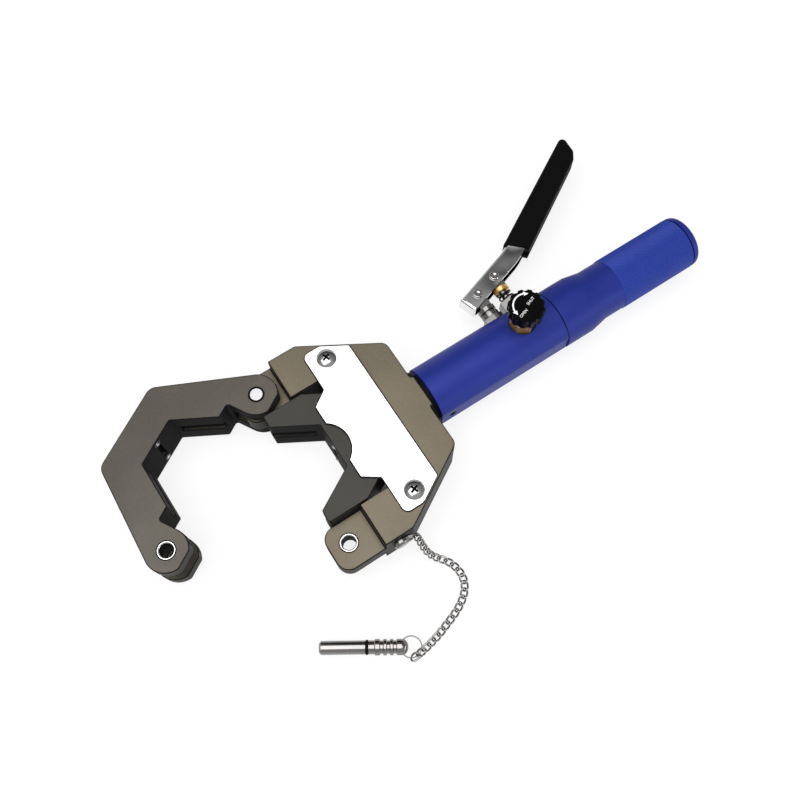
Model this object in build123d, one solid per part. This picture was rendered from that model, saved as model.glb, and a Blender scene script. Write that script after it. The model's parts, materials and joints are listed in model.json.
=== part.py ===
from build123d import *
import os
from math import asin, atan2, ceil, cos, degrees, hypot, pi, radians, sin, sqrt, tan

# Hand-pumped hydraulic hose crimper, lying on its back with the jaw swung open.
# Frame: X is the hydraulic axis and points to the handle, Y points to the hinge ear and the pump lever,
# Z points out of the front cover plate. The origin is where the hydraulic axis crosses the line through
# the hinge pin and the lock hole. All lengths are millimetres, all angles degrees.

# Clearances
side_gap = 0.3          # flat faces that pass each other
run_gap = 0.05          # radial play of turning and sliding round parts
thread_gap = 0.1        # radial play where a screwed joint is drawn plain
seal_gap = 0.03         # play left round a seal
over = 1.0              # cuts run past a face by this
near = 0.01             # points closer than this are one corner

# Head
head_thick = 38.0
pin_spacing = 116.0     # hinge pin to lock hole
boss_r = 14.6           # round ends of the jaw, from a pin to the slot's side
ear_reach = 16.3        # from a pin to the head's outer side
slot_back_x = 64.0
slot_corner_r = 10.0
ear_step_x = 18.0       # where the thick ear drops to its tongue
tongue_reach = 13.4     # tongue's end ahead of the pin line
tongue_thick = 15.4
tongue_corner_r = 9.0
shoulder_x = 39.0       # where the outer sides start to taper
shoulder_r = 6.0
head_back_x = 92.7
back_width = 85.4
back_corner_r = 6.0
neck_width = 36.0
neck_length = 2.3
neck_chamfer = 6.0
spigot_d = 34.0         # threaded spigot that the pump body screws on
spigot_length = 17.0

# Die seats
die_flats = 57.7        # hexagon across flats, closed
close_gap = 0.5         # left between jaw and ram at full stroke
seat_groove_width = 10.0
seat_groove_depth = 3.0
seat_groove_start = 4.0  # from the hexagon's corner
key_slot_length = 18.0
key_slot_width = 3.5
key_slot_depth = 4.0
ball_d = 4.0
ball_out = 1.0          # how far a detent ball stands out of its seat
ball_travel = 0.8
ball_offset = 14.5      # balls lie this far from the middle plane
sleeve_d = 5.5
sleeve_length = 12.0
sleeve_floor = 1.5

# Jaw, in its closed place
jaw_open_angle = 59.0   # turned this far open in the stored pose
jaw_back_wall = 24.0    # seat's middle face to the outer face
jaw_front_width = 62.0
jaw_corner_r = 8.0
jaw_notch_r = 2.0       # inner corner beside each boss
boss_flat_x = 13.0      # flat end of the two bosses behind the pin line
fork_gap = 16.0
fork_clear = 0.8        # fork's round root clears the tongue by this
hinge_pin_d = 10.0
hinge_bush_d = 14.0
lock_bush_d = 11.8
lock_bore_d = 9.2
lock_lead = 0.5         # bevel that leads the lock pin into a bush

# Ram
ram_seat_x = 24.8       # seat's middle face behind the pin line, drawn back
ram_stroke = 9.6
ram_side_gap = 1.1      # to the slot's side walls
ram_face_gap = 0.8      # to the cover plates
ram_shoulder_x = 25.0   # where the outer sides start to taper
ram_back_x = 55.0
ram_taper = 30.0
ram_tip_chamfer = 1.0

# Cover plates
plate_thick = 1.2
plate_nose_x = 28.0
plate_nose_width = 57.0
plate_edge_x = 39.0
plate_edge_width = 72.0   # width where the nose runs out to the straight edge
plate_side = 9.5          # plate's ends lie this far in from the head's sides
plate_back_x = 71.0
plate_inset = 1.0         # kept inside the head's tapered sides
plate_corner_r = 5.0
plate_notch_r = 17.5
plate_notch_width = 29.0
cover_screw_x = 52.6
cover_screw_side = 20.1   # in from the head's sides
cover_screw_d = 6.0
cover_screw_length = 14.0
cover_head_d = 13.6
cover_head_height = 2.5

# Cylinder and ram drive
rod_d = 16.0
rod_nose_d = 12.0
rod_nose_length = 15.0
rod_bush_wall = 2.0
piston_d = 30.0
piston_length = 12.0
piston_seal_width = 5.0
piston_seal_depth = 3.0
return_wire_d = 3.0
return_coil_d = 23.0         # middle of the wire
return_pressed = 12.4        # spring's length at full stroke
oil_space = 4.0              # behind the drawn-back piston

# Pump body
body_gap = 3.0          # dark gap between the head's neck and the body
body_d = 43.0
body_length = 105.0
body_flat_y = 19.9      # machined flat on the lower side
pump_flat_y = 19.6      # flat under the post and the gland
pump_flat_margin = 2.0
rear_spigot_d = 36.0
rear_spigot_length = 13.0
nipple_d = 16.0
nipple_length = 8.0
set_screw_along = 8.8   # from the body's front end
set_screw_d = 5.0
seal_size = 1.6         # square section of the static seals

# Check valves, beside the hydraulic axis
outlet_y = -6.0
inlet_y = -3.1
valve_bore_d = 7.0
valve_bore_length = 14.0
valve_ball_d = 5.0
valve_spring_d = 5.0
valve_spring_bore = 3.0
valve_retainer_length = 3.0
oil_way_d = 3.0

# Handle
handle_gap = 0.6        # dark joint line between body and handle
shell_length = 22.4     # full-size stretch of the handle
taper_length = 13.0
waist_d = 38.0
waist_length = 15.5
grip_tube_d = 39.0
grip_tube_length = 61.5
handle_bore_d = 31.0
cap_gap = 0.6
cap_length = 5.2
cap_d = 38.6
cap_edge_r = 3.5
cap_plug_length = 9.0
cap_groove_at = 3.0     # seal groove, from the mouth of the handle
bladder_d = 28.0
bladder_wall = 1.4
bladder_shoulder = 7.0
bladder_room = 4.0      # to the end cap's plug

# Lever and pump
post_back = 33.0        # from the body's rear end
pivot_y = 43.2
lever_angle = 18.4      # bare channel against the hydraulic axis
lever_bend = 11.9       # more turn at the grip
lever_stroke = 28.0
plunger_back = 15.2     # from the body's rear end
plunger_rivet_drop = 0.5    # rivet below the channel's line through the pivot
channel_width = 13.5
channel_depth = 13.4
channel_wall = 2.0
channel_edge_r = 2.0
channel_end_r = 4.0     # inner corner of the closed end
web_height = 6.8        # outer web above the pivot
lever_tail = 11.6       # channel's closed end ahead of the pivot
bend_reach = 39.7       # pivot to bend, along the channel
bend_r = 40.0           # of the outer web
grip_start = 3.7        # past the bend
grip_reach = 105.2      # grip's outer edge, from its start to its tip
grip_width = 17.6
grip_wall = 1.6         # over the channel's web
grip_tip_run = 9.3      # tip is cut back on the inner side
grip_tip_depth = 13.8
grip_heel_run = 15.7
grip_heel_depth = 16.8
grip_mouth_run = 4.9    # mouth is cut back on the inner side
grip_mouth_depth = 18.4
grip_round = 3.0
grip_corner_r = 3.5     # corners of the grip's tip, in side view
grip_seam = 5.0         # open seam along the grip's inner side
channel_short = 17.0    # channel ends this far short of the grip's tip
rivet_d = 5.0
rivet_head_d = 7.2
rivet_head_height = 1.2
rivet_edge = 0.6
dimple_d = 3.4
dimple_depth = 0.8
eye_d = 8.8
eye_thick = 8.6
post_collar_d = 13.0
post_groove_d = 10.0
post_groove_width = 1.6
post_clear = 1.5        # collar below the swinging channel
post_hex = 14.0         # across flats
post_hex_height = 4.6
post_stub_d = 8.0
post_stub_length = 11.0
gland_hex = 16.5        # across flats
gland_height = 9.4
gland_cup_d = 12.6
gland_floor = 1.6
gland_stub_d = 12.0
gland_stub_length = 8.0
plunger_d = 6.0
plunger_low_y = -1.0    # plunger's end at full stroke
plunger_bore_y = -8.0
plunger_slot = 1.0      # eye is longer than the rivet by this, each way
collar_d = 11.8
collar_thick = 3.2
collar_drop = 8.4       # collar's top below the plunger rivet
pump_wire_d = 1.3
pump_coil_d = 9.8       # middle of the wire
pump_turns = 4.5
wire_ground = 0.25      # share of the wire ground off at the spring's ends

# Release valve
knob_back = 24.5        # from the body's rear end
knob_y = 3.8
knob_top_z = 46.0
knob_d = 25.0
knob_height = 9.0
knob_hub_d = 18.0
knob_hub_height = 6.0
knob_scallops = 12
scallop_d = 4.4
scallop_depth = 1.1
knob_edge = 0.8
release_hex = 16.0      # across flats
release_seat_z = 17.5
release_height = 12.6
release_stub_d = 10.0
release_stub_length = 9.0
needle_d = 6.0
needle_tip_d = 3.0
needle_tip_length = 3.0
needle_socket = 7.0     # stem's length inside the knob

# Chain and lock pin
chain_screw_x = 28.5
chain_screw_z = 8.0
chain_screw_d = 5.0
chain_screw_length = 8.0
chain_screw_head_d = 11.0
chain_screw_head_height = 3.4
chain_screw_edge_r = 2.0
eyelet_thick = 1.0
eyelet_width = 8.4
eyelet_tip_width = 5.4
eyelet_bend_at = 6.6    # from the screw to where the tab lifts off the head
eyelet_bend = 20.0
eyelet_hole_at = 5.0    # from the bend
eyelet_hole_d = 3.6
eyelet_tilt = -24.0
chain_wire_d = 1.4
link_length = 8.15      # outside
link_width = 5.6        # outside
link_twist = 45.0       # turn of each end against the middle
link_slack = 0.25
wire_sides = 6          # chain and ring wire is drawn with this many flats
ring_sides = 8          # and the seal ring with this many
lock_pin_d = 8.8
lock_pin_length = 57.4
lock_pin_bevel = 1.2    # bevel of the plain end
lock_pin_dome = 4.6     # rounding of the domed end
lock_grip_d = 10.4      # ribbed end, which stops on the bush
lock_grip_at = 35.6     # from the plain end
lock_rib_edge = 0.5
lock_oring_at = 30.7    # from the plain end
lock_oring_wire_d = 2.0
lock_oring_out = 0.5
lock_grip_grooves = (40.2, 44.5, 48.8)
lock_groove_width = 1.8
lock_groove_depth = 1.0
lock_hole_d = 3.6
lock_hole_at = 3.8      # from the domed end
split_ring_d = 13.6     # middle of the wire
split_wire_d = 0.9

# Where the lock pin and the chain lie on the surface that the tool rests on
lock_pin_tip = (-50.7, -100.6)
lock_pin_direction = (0.8463, -0.5327)
chain_route = [
    (39.3, -76.6, 2.4), (39.9, -80.2, -2.8), (40.2, -83.6, -7.2), (41.0, -87.6, -12.2),
    (43.0, -91.2, -16.8), (46.6, -94.8, -20.1), (50.4, -98.8, -21.0), (52.4, -104.0, -21.0),
    (53.5, -110.0, -21.0), (52.3, -116.0, -21.0), (49.2, -121.0, -21.0), (44.6, -125.0, -21.0),
    (39.4, -128.0, -21.0), (33.8, -130.4, -21.0), (27.6, -132.4, -21.0), (21.6, -134.4, -20.8),
    (16.9, -136.0, -20.0), (11.5, -137.1, -17.4), (6.0, -138.4, -15.3), (0.7, -138.9, -15.5),
    (-4.0, -138.7, -18.1),
]

# Sizes that follow from the ones above
half_thick = head_thick / 2
pin_y = pin_spacing / 2
slot_half = pin_y - boss_r
head_half = pin_y + ear_reach
cover_screw_y = head_half - cover_screw_side
die_side = die_flats / sqrt(3)
jaw_seat_x = ram_seat_x - ram_stroke - close_gap - die_flats
jaw_end_x = jaw_seat_x + die_flats / 2
jaw_front_x = jaw_seat_x - jaw_back_wall
ram_end_x = ram_seat_x - die_flats / 2
ram_half = slot_half - ram_side_gap
neck_end_x = head_back_x + neck_length
spigot_end_x = neck_end_x + spigot_length
body_start_x = neck_end_x + body_gap
body_end_x = body_start_x + body_length
body_r = body_d / 2
piston_front_x = spigot_end_x + ram_stroke + return_pressed
piston_back_x = piston_front_x + piston_length
cylinder_end_x = piston_back_x + oil_space
rear_spigot_x = body_end_x + rear_spigot_length
nipple_end_x = rear_spigot_x + nipple_length
handle_start_x = body_end_x + handle_gap
taper_start_x = handle_start_x + shell_length
taper_end_x = taper_start_x + taper_length
grip_start_x = taper_end_x + waist_length
grip_end_x = grip_start_x + grip_tube_length
cap_start_x = grip_end_x + cap_gap
plug_x = grip_end_x - cap_plug_length
set_screw_x = body_start_x + set_screw_along
pivot_x = body_end_x - post_back
plunger_x = body_end_x - plunger_back
knob_x = body_end_x - knob_back
knob_bottom_z = knob_top_z - knob_height - knob_hub_height
needle_foot_z = release_seat_z - release_stub_length
floor_z = -(half_thick + plate_thick + cover_head_height)
plunger_y = pivot_y + (plunger_x - pivot_x) * tan(radians(lever_angle)) - plunger_rivet_drop
collar_top_y = plunger_y - collar_drop
pump_arm = hypot(plunger_x - pivot_x, plunger_y - pivot_y)
pump_rise = degrees(atan2(plunger_y - pivot_y, plunger_x - pivot_x))
plunger_lift = pump_arm * (sin(radians(pump_rise)) - sin(radians(pump_rise - lever_stroke)))
chain_seat_y = -head_half - eyelet_thick


def rod_x(radius, x0, x1, y=0.0, z=0.0):
    """Round bar along X."""
    bar = Cylinder(radius, abs(x1 - x0), align=(Align.CENTER, Align.CENTER, Align.MIN))
    return Pos(min(x0, x1), y, z) * Rot(0, 90, 0) * bar


def rod_y(radius, y0, y1, x, z=0.0):
    """Round bar along Y."""
    bar = Cylinder(radius, y1 - y0, align=(Align.CENTER, Align.CENTER, Align.MIN))
    return Pos(x, y0, z) * Rot(-90, 0, 0) * bar


def rod_z(radius, z0, z1, x, y):
    """Round bar along Z."""
    bar = Cylinder(radius, z1 - z0, align=(Align.CENTER, Align.CENTER, Align.MIN))
    return Pos(x, y, z0) * bar


def block(x0, x1, y0, y1, z0, z1):
    """Box between two corners."""
    return Pos((x0 + x1) / 2, (y0 + y1) / 2, (z0 + z1) / 2) * Box(abs(x1 - x0), y1 - y0, z1 - z0)


def turned(*profile):
    """Body turned about X from (x, radius) corners."""
    return revolve(make_face(Polyline(*profile, close=True)), Axis.X)


def ring_x(inner_r, outer_r, x0, x1):
    """Ring of square section about X."""
    return turned((x0, inner_r), (x0, outer_r), (x1, outer_r), (x1, inner_r))


def flat_shape(corners):
    """Face in the XY plane from its corners."""
    return make_face(Polyline(*corners, close=True))


def mirrored(corners):
    """Corners of the upper half, then their mirror images below the X axis."""
    return corners + [(x, -y) for x, y in reversed(corners)]


def plate_of(shape, thick):
    """Face made thick, half to each side of the middle plane."""
    return extrude(shape, amount=thick / 2, both=True)


def rounded(shape, points, radius):
    """Round the corners of a face that lie at the given points."""
    corners = [v for v in shape.vertices() if any(hypot(v.X - x, v.Y - y) < near for x, y in points)]
    return fillet(corners, radius)


def hexagon(across, height):
    """Hexagon prism on Z with flats facing X."""
    return extrude(Rot(0, 0, 30) * RegularPolygon(across / sqrt(3), 6), amount=height)


def swung(piece):
    """Turn a piece of the closed jaw about the hinge pin to its open place."""
    return Pos(0, pin_y, 0) * Rot(0, 0, -jaw_open_angle) * Pos(0, -pin_y, 0) * piece


# Spring

def biarc(p0, t0, p1, t1):
    """Two arcs that join two points with given directions smoothly."""
    v = p1 - p0
    t = t0 + t1
    k = 2 * (1 - t0.dot(t1))
    reach = (-v.dot(t) + sqrt(v.dot(t) ** 2 + k * v.dot(v))) / k
    joint = (p0 + p1 + (t0 - t1) * reach) / 2
    first = TangentArc(p0, joint, tangent=t0)
    second = TangentArc(joint, p1, tangent=first % 1)
    return [first, second]


def coil(middle_d, wire_d, turns, length):
    """Coil on Z from 0 to its length, its ends ground flat."""
    start = wire_d * wire_ground
    lead = (length - 2 * start) / (turns * 2 * pi)
    radius = middle_d / 2

    def place(angle):
        return Vector(radius * cos(angle), radius * sin(angle), start + lead * angle)

    def heading(angle):
        return Vector(-radius * sin(angle), radius * cos(angle), lead).normalized()

    halves = round(turns * 2)
    arcs = []
    for i in range(halves):
        a0 = i * pi
        a1 = a0 + pi
        arcs += biarc(place(a0), heading(a0), place(a1), heading(a1))
    section = Plane(origin=place(0), z_dir=heading(0)) * Circle(wire_d / 2)
    tube = sweep(section, path=Wire(arcs))
    points = [place(i * pi / 18) for i in range(halves * 18 + 1)]
    gap = min((p - q).length for i, p in enumerate(points) for q in points[i + 18:]) - wire_d
    print("pump spring, least gap between turns", round(gap, 2))
    return tube & rod_z(middle_d, 0, length, 0, 0)


# Head

def head_taper():
    """How fast the head's half width shrinks along X on its tapered sides."""
    return (head_half - back_width / 2) / (head_back_x - shoulder_x)


def head_yoke():
    back_half = back_width / 2
    sides = [(ear_step_x, head_half), (shoulder_x, head_half), (head_back_x, back_half)]
    outline = flat_shape(mirrored(sides))
    outline = rounded(outline, [(shoulder_x, head_half), (shoulder_x, -head_half)], shoulder_r)
    outline = rounded(outline, [(head_back_x, back_half), (head_back_x, -back_half)], back_corner_r)
    slot = flat_shape(mirrored([(ear_step_x - over, slot_half), (slot_back_x, slot_half)]))
    slot = rounded(slot, [(slot_back_x, slot_half), (slot_back_x, -slot_half)], slot_corner_r)
    body = plate_of(outline - slot, head_thick)
    for side in (1, -1):
        inner, outer = sorted((side * slot_half, side * head_half))
        ends = [(-tongue_reach, inner), (-tongue_reach, outer)]
        ear = flat_shape([ends[0], (ear_step_x, inner), (ear_step_x, outer), ends[1]])
        body += plate_of(rounded(ear, ends, tongue_corner_r), tongue_thick)
    neck = block(head_back_x, neck_end_x, -neck_width / 2, neck_width / 2, -half_thick, half_thick)
    body += chamfer(neck.edges().filter_by(Axis.X), neck_chamfer)
    body += rod_x(spigot_d / 2, neck_end_x, spigot_end_x)
    body -= rod_x(rod_d / 2 + rod_bush_wall, slot_back_x - over, spigot_end_x + over)
    seal_floor = spigot_d / 2 - seal_size
    body -= ring_x(seal_floor, spigot_d / 2 + over, spigot_end_x - seal_size, spigot_end_x + over)
    body -= rod_z(hinge_bush_d / 2, -half_thick, half_thick, 0, pin_y)
    body -= rod_z(lock_bush_d / 2, -half_thick, half_thick, 0, -pin_y)
    for y in (cover_screw_y, -cover_screw_y):
        body -= rod_z(cover_screw_d / 2 + thread_gap, -half_thick, half_thick, cover_screw_x, y)
    tap_end = -head_half + chain_screw_length + over
    body -= rod_y(chain_screw_d / 2 + thread_gap, -head_half - over, tap_end, chain_screw_x, chain_screw_z)
    return body


def cylinder_seal():
    inner = spigot_d / 2 - seal_size
    outer = spigot_d / 2 + thread_gap - seal_gap
    return ring_x(inner, outer, spigot_end_x - seal_size, spigot_end_x)


def cover_plate(front):
    slope = head_taper()
    inset_y = plate_inset * sqrt(1 + slope ** 2)
    end_y = head_half - plate_side
    end_x = shoulder_x + (head_half - inset_y - end_y) / slope
    back_y = head_half - inset_y - (plate_back_x - shoulder_x) * slope
    outline = flat_shape(mirrored([
        (plate_nose_x, plate_nose_width / 2), (plate_edge_x, plate_edge_width / 2), (plate_edge_x, end_y),
        (end_x, end_y), (plate_back_x, back_y)]))
    corners = [(x, y) for x in (plate_edge_x, end_x) for y in (end_y, -end_y)]
    outline = rounded(outline, corners, plate_corner_r)
    notch_depth = sqrt(plate_notch_r ** 2 - (plate_notch_width / 2) ** 2)
    outline -= Pos(plate_nose_x - notch_depth, 0) * Circle(plate_notch_r)
    for y in (cover_screw_y, -cover_screw_y):
        outline -= Pos(cover_screw_x, y) * Circle(cover_screw_d / 2 + side_gap)
    plate = extrude(outline, amount=plate_thick)
    return Pos(0, 0, half_thick if front else -half_thick - plate_thick) * plate


def cover_screws():
    dome_r = ((cover_head_d / 2) ** 2 + cover_head_height ** 2) / (2 * cover_head_height)
    dome = Pos(0, 0, cover_head_height - dome_r) * Sphere(dome_r)
    head = dome & Pos(0, 0, dome_r) * Box(2 * dome_r, 2 * dome_r, 2 * dome_r)
    screw = head + rod_z(cover_screw_d / 2, -cover_screw_length, 0, 0, 0)
    seat = half_thick + plate_thick
    screws = []
    for y in (cover_screw_y, -cover_screw_y):
        screws.append(Pos(cover_screw_x, y, seat) * screw)
        screws.append(Pos(cover_screw_x, y, -seat) * Rot(180, 0, 0) * screw)
    return Compound(children=screws)


def bush(outer_d, bore_d, y, z0, z1):
    """Round bush in one of the ears."""
    return rod_z(outer_d / 2, z0, z1, 0, y) - rod_z(bore_d / 2, z0, z1, 0, y)


def lead_in(z):
    """Cone that opens the lock bore towards the outer face at height z."""
    r = lock_bore_d / 2
    cone = Cone(r, r + lock_lead, lock_lead, align=(Align.CENTER, Align.CENTER, Align.MAX))
    return Pos(0, -pin_y, z) * Rot(0 if z > 0 else 180, 0, 0) * cone


def hinge_bush():
    return bush(hinge_bush_d, hinge_pin_d + 2 * run_gap, pin_y, -tongue_thick / 2, tongue_thick / 2)


def lock_bush():
    half = tongue_thick / 2
    solid = bush(lock_bush_d, lock_bore_d, -pin_y, -half, half)
    return solid - lead_in(half) - lead_in(-half)


# Die seats, drawn at their middle face, facing along X towards the other half

def seat_outline(middle_x, way):
    """Corners of a half hexagon, from its upper end to its lower end."""
    end_x = middle_x + way * die_flats / 2
    return [(end_x, die_side), (middle_x, die_side / 2), (middle_x, -die_side / 2), (end_x, -die_side)]


def seat_cuts(middle_x, way):
    """Grooves along the slanted faces, key slot and sleeve holes in the middle face."""
    end_x = middle_x + way * die_flats / 2
    slot_floor_x = middle_x - way * key_slot_depth
    cuts = Pos((slot_floor_x + middle_x + way * over) / 2, 0, 0) * Box(
        key_slot_depth + over, key_slot_width, key_slot_length)
    length = hypot(end_x - middle_x, die_side / 2) - seat_groove_start + over
    for side in (1, -1):
        turn = degrees(atan2(side * die_side / 2, end_x - middle_x))
        groove = Box(length, 2 * seat_groove_depth, seat_groove_width)
        groove = Pos(seat_groove_start + length / 2, 0, 0) * groove
        cuts += Pos(middle_x, side * die_side / 2, 0) * Rot(0, 0, turn) * groove
    for z in (ball_offset, -ball_offset):
        cuts += rod_x(sleeve_d / 2, middle_x - way * sleeve_length, middle_x + way * over, 0, z)
    return cuts


def detent_sleeves(middle_x, way):
    """Two sleeves set in the middle face, each bored for its ball and spring."""
    sleeves = []
    for z in (ball_offset, -ball_offset):
        sleeve = rod_x(sleeve_d / 2, middle_x - way * sleeve_length, middle_x, 0, z)
        floor_x = middle_x - way * (sleeve_length - sleeve_floor)
        sleeves.append(sleeve - rod_x(ball_d / 2 + run_gap, floor_x, middle_x + way * over, 0, z))
    return Compound(children=sleeves)


def detent_balls(middle_x, way):
    """Two round-nosed balls that stand out of their sleeves, with the stems that their springs push."""
    centre_x = middle_x - way * (ball_d / 2 - ball_out)
    floor_x = middle_x - way * (sleeve_length - sleeve_floor)
    balls = []
    for z in (ball_offset, -ball_offset):
        stem = rod_x(ball_d / 2, floor_x + way * (ball_travel + side_gap), centre_x, 0, z)
        balls.append(Pos(centre_x, 0, z) * Sphere(ball_d / 2) + stem)
    return Compound(children=balls)


# Jaw

def jaw():
    corner = (jaw_front_x, jaw_front_width / 2)
    away = hypot(jaw_front_x, corner[1] - pin_y)
    slant = atan2(pin_y - corner[1], -jaw_front_x) + asin(boss_r / away)
    touch = (-boss_r * sin(slant), pin_y + boss_r * cos(slant))
    upper = [corner, touch, (0, pin_y), (0, slot_half), (jaw_end_x, slot_half), (jaw_end_x, die_side)]
    lower = [(x, -y) for x, y in reversed(upper)]
    outline = flat_shape(upper + seat_outline(jaw_seat_x, 1)[1:3] + lower)
    outline = rounded(outline, [corner, (corner[0], -corner[1])], jaw_corner_r)
    outline = rounded(outline, [(jaw_end_x, slot_half), (jaw_end_x, -slot_half)], jaw_notch_r)
    for y in (pin_y, -pin_y):
        outline += Pos(0, y) * Circle(boss_r)
    outline -= Pos(boss_flat_x + boss_r, 0) * Rectangle(2 * boss_r, 2 * pin_y + 4 * boss_r)
    body = plate_of(outline, head_thick)
    corner_reach = hypot(tongue_reach - tongue_corner_r, head_half - pin_y - tongue_corner_r)
    root_r = corner_reach + tongue_corner_r + fork_clear
    for y in (pin_y, -pin_y):
        body -= rod_z(root_r, -fork_gap / 2, fork_gap / 2, 0, y)
    body -= rod_z(hinge_pin_d / 2, -half_thick, half_thick, 0, pin_y)
    body -= rod_z(lock_bush_d / 2, -half_thick, half_thick, 0, -pin_y)
    return swung(body - seat_cuts(jaw_seat_x, 1))


def hinge_pin():
    return swung(rod_z(hinge_pin_d / 2, -half_thick, half_thick, 0, pin_y))


def tip_bushes():
    upper = bush(lock_bush_d, lock_bore_d, -pin_y, fork_gap / 2, half_thick)
    lower = bush(lock_bush_d, lock_bore_d, -pin_y, -half_thick, -fork_gap / 2)
    pair = [swung(upper - lead_in(half_thick)), swung(lower - lead_in(-half_thick))]
    return Compound(children=pair)


# Ram and its drive

def ram():
    back_half = ram_half - (ram_back_x - ram_shoulder_x) * tan(radians(ram_taper))
    upper = [(ram_end_x, ram_half), (ram_shoulder_x, ram_half), (ram_back_x, back_half)]
    lower = [(x, -y) for x, y in reversed(upper)]
    outline = flat_shape(upper + lower + list(reversed(seat_outline(ram_seat_x, -1))))
    tips = [v for v in outline.vertices() if hypot(v.X - ram_end_x, abs(v.Y) - ram_half) < near]
    body = plate_of(chamfer(tips, ram_tip_chamfer), head_thick - 2 * ram_face_gap)
    body -= seat_cuts(ram_seat_x, -1)
    nose_x = ram_back_x - rod_nose_length
    return body - rod_x(rod_nose_d / 2 + thread_gap, nose_x - side_gap, ram_back_x + over)


def piston_seal_x():
    """Both ends of the piston's seal groove."""
    middle = (piston_front_x + piston_back_x) / 2
    return middle - piston_seal_width / 2, middle + piston_seal_width / 2


def piston_rod():
    nose_x = ram_back_x - rod_nose_length
    bar = turned(
        (nose_x, 0), (nose_x, rod_nose_d / 2), (ram_back_x, rod_nose_d / 2), (ram_back_x, rod_d / 2),
        (piston_front_x, rod_d / 2), (piston_front_x, piston_d / 2), (piston_back_x, piston_d / 2),
        (piston_back_x, 0))
    return bar - ring_x(piston_d / 2 - piston_seal_depth, piston_d / 2 + over, *piston_seal_x())


def piston_seal():
    lip = piston_d / 2 + run_gap - seal_gap
    return ring_x(piston_d / 2 - piston_seal_depth, lip, *piston_seal_x())


def rod_bush():
    return ring_x(rod_d / 2 + run_gap, rod_d / 2 + rod_bush_wall, slot_back_x, spigot_end_x)


def return_spring():
    """Hidden spring, drawn as the sleeve that its turns fill."""
    inner_r = (return_coil_d - return_wire_d) / 2
    return ring_x(inner_r, inner_r + return_wire_d, spigot_end_x, piston_front_x)


# Pump body

def pump_body():
    flat_x0 = pivot_x - post_hex / sqrt(3) - pump_flat_margin
    flat_x1 = plunger_x + gland_hex / sqrt(3) + pump_flat_margin
    body = rod_x(body_r, body_start_x, body_end_x)
    body -= block(body_start_x - over, body_end_x + over, -body_r - over, -body_flat_y, -body_r, body_r)
    body -= block(flat_x0, flat_x1, pump_flat_y, body_r + over, -body_r, body_r)
    body -= rod_z(release_hex / sqrt(3) + side_gap, release_seat_z, body_r + over, knob_x, knob_y)
    body += rod_x(rear_spigot_d / 2, body_end_x, rear_spigot_x)
    body += rod_x(nipple_d / 2, rear_spigot_x, nipple_end_x)
    # Socket for the head, cylinder, and the set screw's hole
    body -= rod_x(spigot_d / 2 + thread_gap, body_start_x - over, spigot_end_x)
    body -= rod_x(piston_d / 2 + run_gap, spigot_end_x - over, cylinder_end_x)
    body -= rod_y(set_screw_d / 2, -body_r, 0, set_screw_x)
    # Holes for the plunger, its gland, the post and the release valve
    body -= rod_y(plunger_d / 2 + run_gap, plunger_bore_y, body_r, plunger_x)
    body -= rod_y(gland_stub_d / 2 + thread_gap, pump_flat_y - gland_stub_length, body_r, plunger_x)
    body -= rod_y(post_stub_d / 2 + thread_gap, pump_flat_y - post_stub_length, body_r, pivot_x)
    body -= rod_z(release_stub_d / 2 + thread_gap, needle_foot_z, body_r, knob_x, knob_y)
    body -= rod_z(needle_tip_d / 2 + run_gap, 0, release_seat_z, knob_x, knob_y)
    # Check valves and the oil ways
    body -= rod_x(valve_bore_d / 2, cylinder_end_x - over, cylinder_end_x + valve_bore_length, outlet_y)
    body -= rod_x(valve_bore_d / 2, nipple_end_x - valve_bore_length, nipple_end_x + over, inlet_y)
    body -= rod_x(oil_way_d / 2, cylinder_end_x, plunger_x, outlet_y)
    body -= rod_x(oil_way_d / 2, plunger_x, nipple_end_x, inlet_y)
    return body - rod_x(oil_way_d / 2, cylinder_end_x - over, knob_x, knob_y)


def body_set_screw():
    return rod_y(set_screw_d / 2, -body_flat_y + side_gap, -spigot_d / 2, set_screw_x)


def check_valve(mouth_x, seat_x, y):
    """Ball, spring and retainer in a bore, from its closed end to its mouth."""
    way = 1 if mouth_x > seat_x else -1
    spring_x = seat_x + way * valve_ball_d
    retainer_x = mouth_x - way * valve_retainer_length
    ball = Pos(seat_x + way * valve_ball_d / 2, y, 0) * Sphere(valve_ball_d / 2)
    spring = rod_x(valve_spring_d / 2, spring_x, retainer_x, y)
    spring -= rod_x(valve_spring_bore / 2, spring_x, retainer_x, y)
    retainer = rod_x(valve_bore_d / 2, retainer_x, mouth_x, y)
    retainer -= rod_x(oil_way_d / 2, retainer_x, mouth_x, y)
    return ball, spring, retainer


# Handle

def handle_tube():
    thread_r = rear_spigot_d / 2 + thread_gap
    bore_r = handle_bore_d / 2
    return turned(
        (handle_start_x, thread_r), (handle_start_x, body_r), (taper_start_x, body_r),
        (taper_end_x, waist_d / 2), (grip_start_x, waist_d / 2), (grip_start_x, grip_tube_d / 2),
        (grip_end_x, grip_tube_d / 2), (grip_end_x, bore_r), (rear_spigot_x, bore_r),
        (rear_spigot_x, thread_r))


def cap_groove(outer_r):
    x = grip_end_x - cap_groove_at
    return ring_x(handle_bore_d / 2 - thread_gap - seal_size, outer_r, x - seal_size, x)


def end_cap():
    disc = rod_x(cap_d / 2, cap_start_x, cap_start_x + cap_length)
    rim = disc.edges().filter_by(GeomType.CIRCLE).sort_by(Axis.X)[-1]
    cap = fillet(rim, cap_edge_r) + rod_x(handle_bore_d / 2 - thread_gap, plug_x, cap_start_x)
    return cap - cap_groove(handle_bore_d / 2 + over)


def cap_seal():
    return cap_groove(handle_bore_d / 2 - seal_gap)


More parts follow.
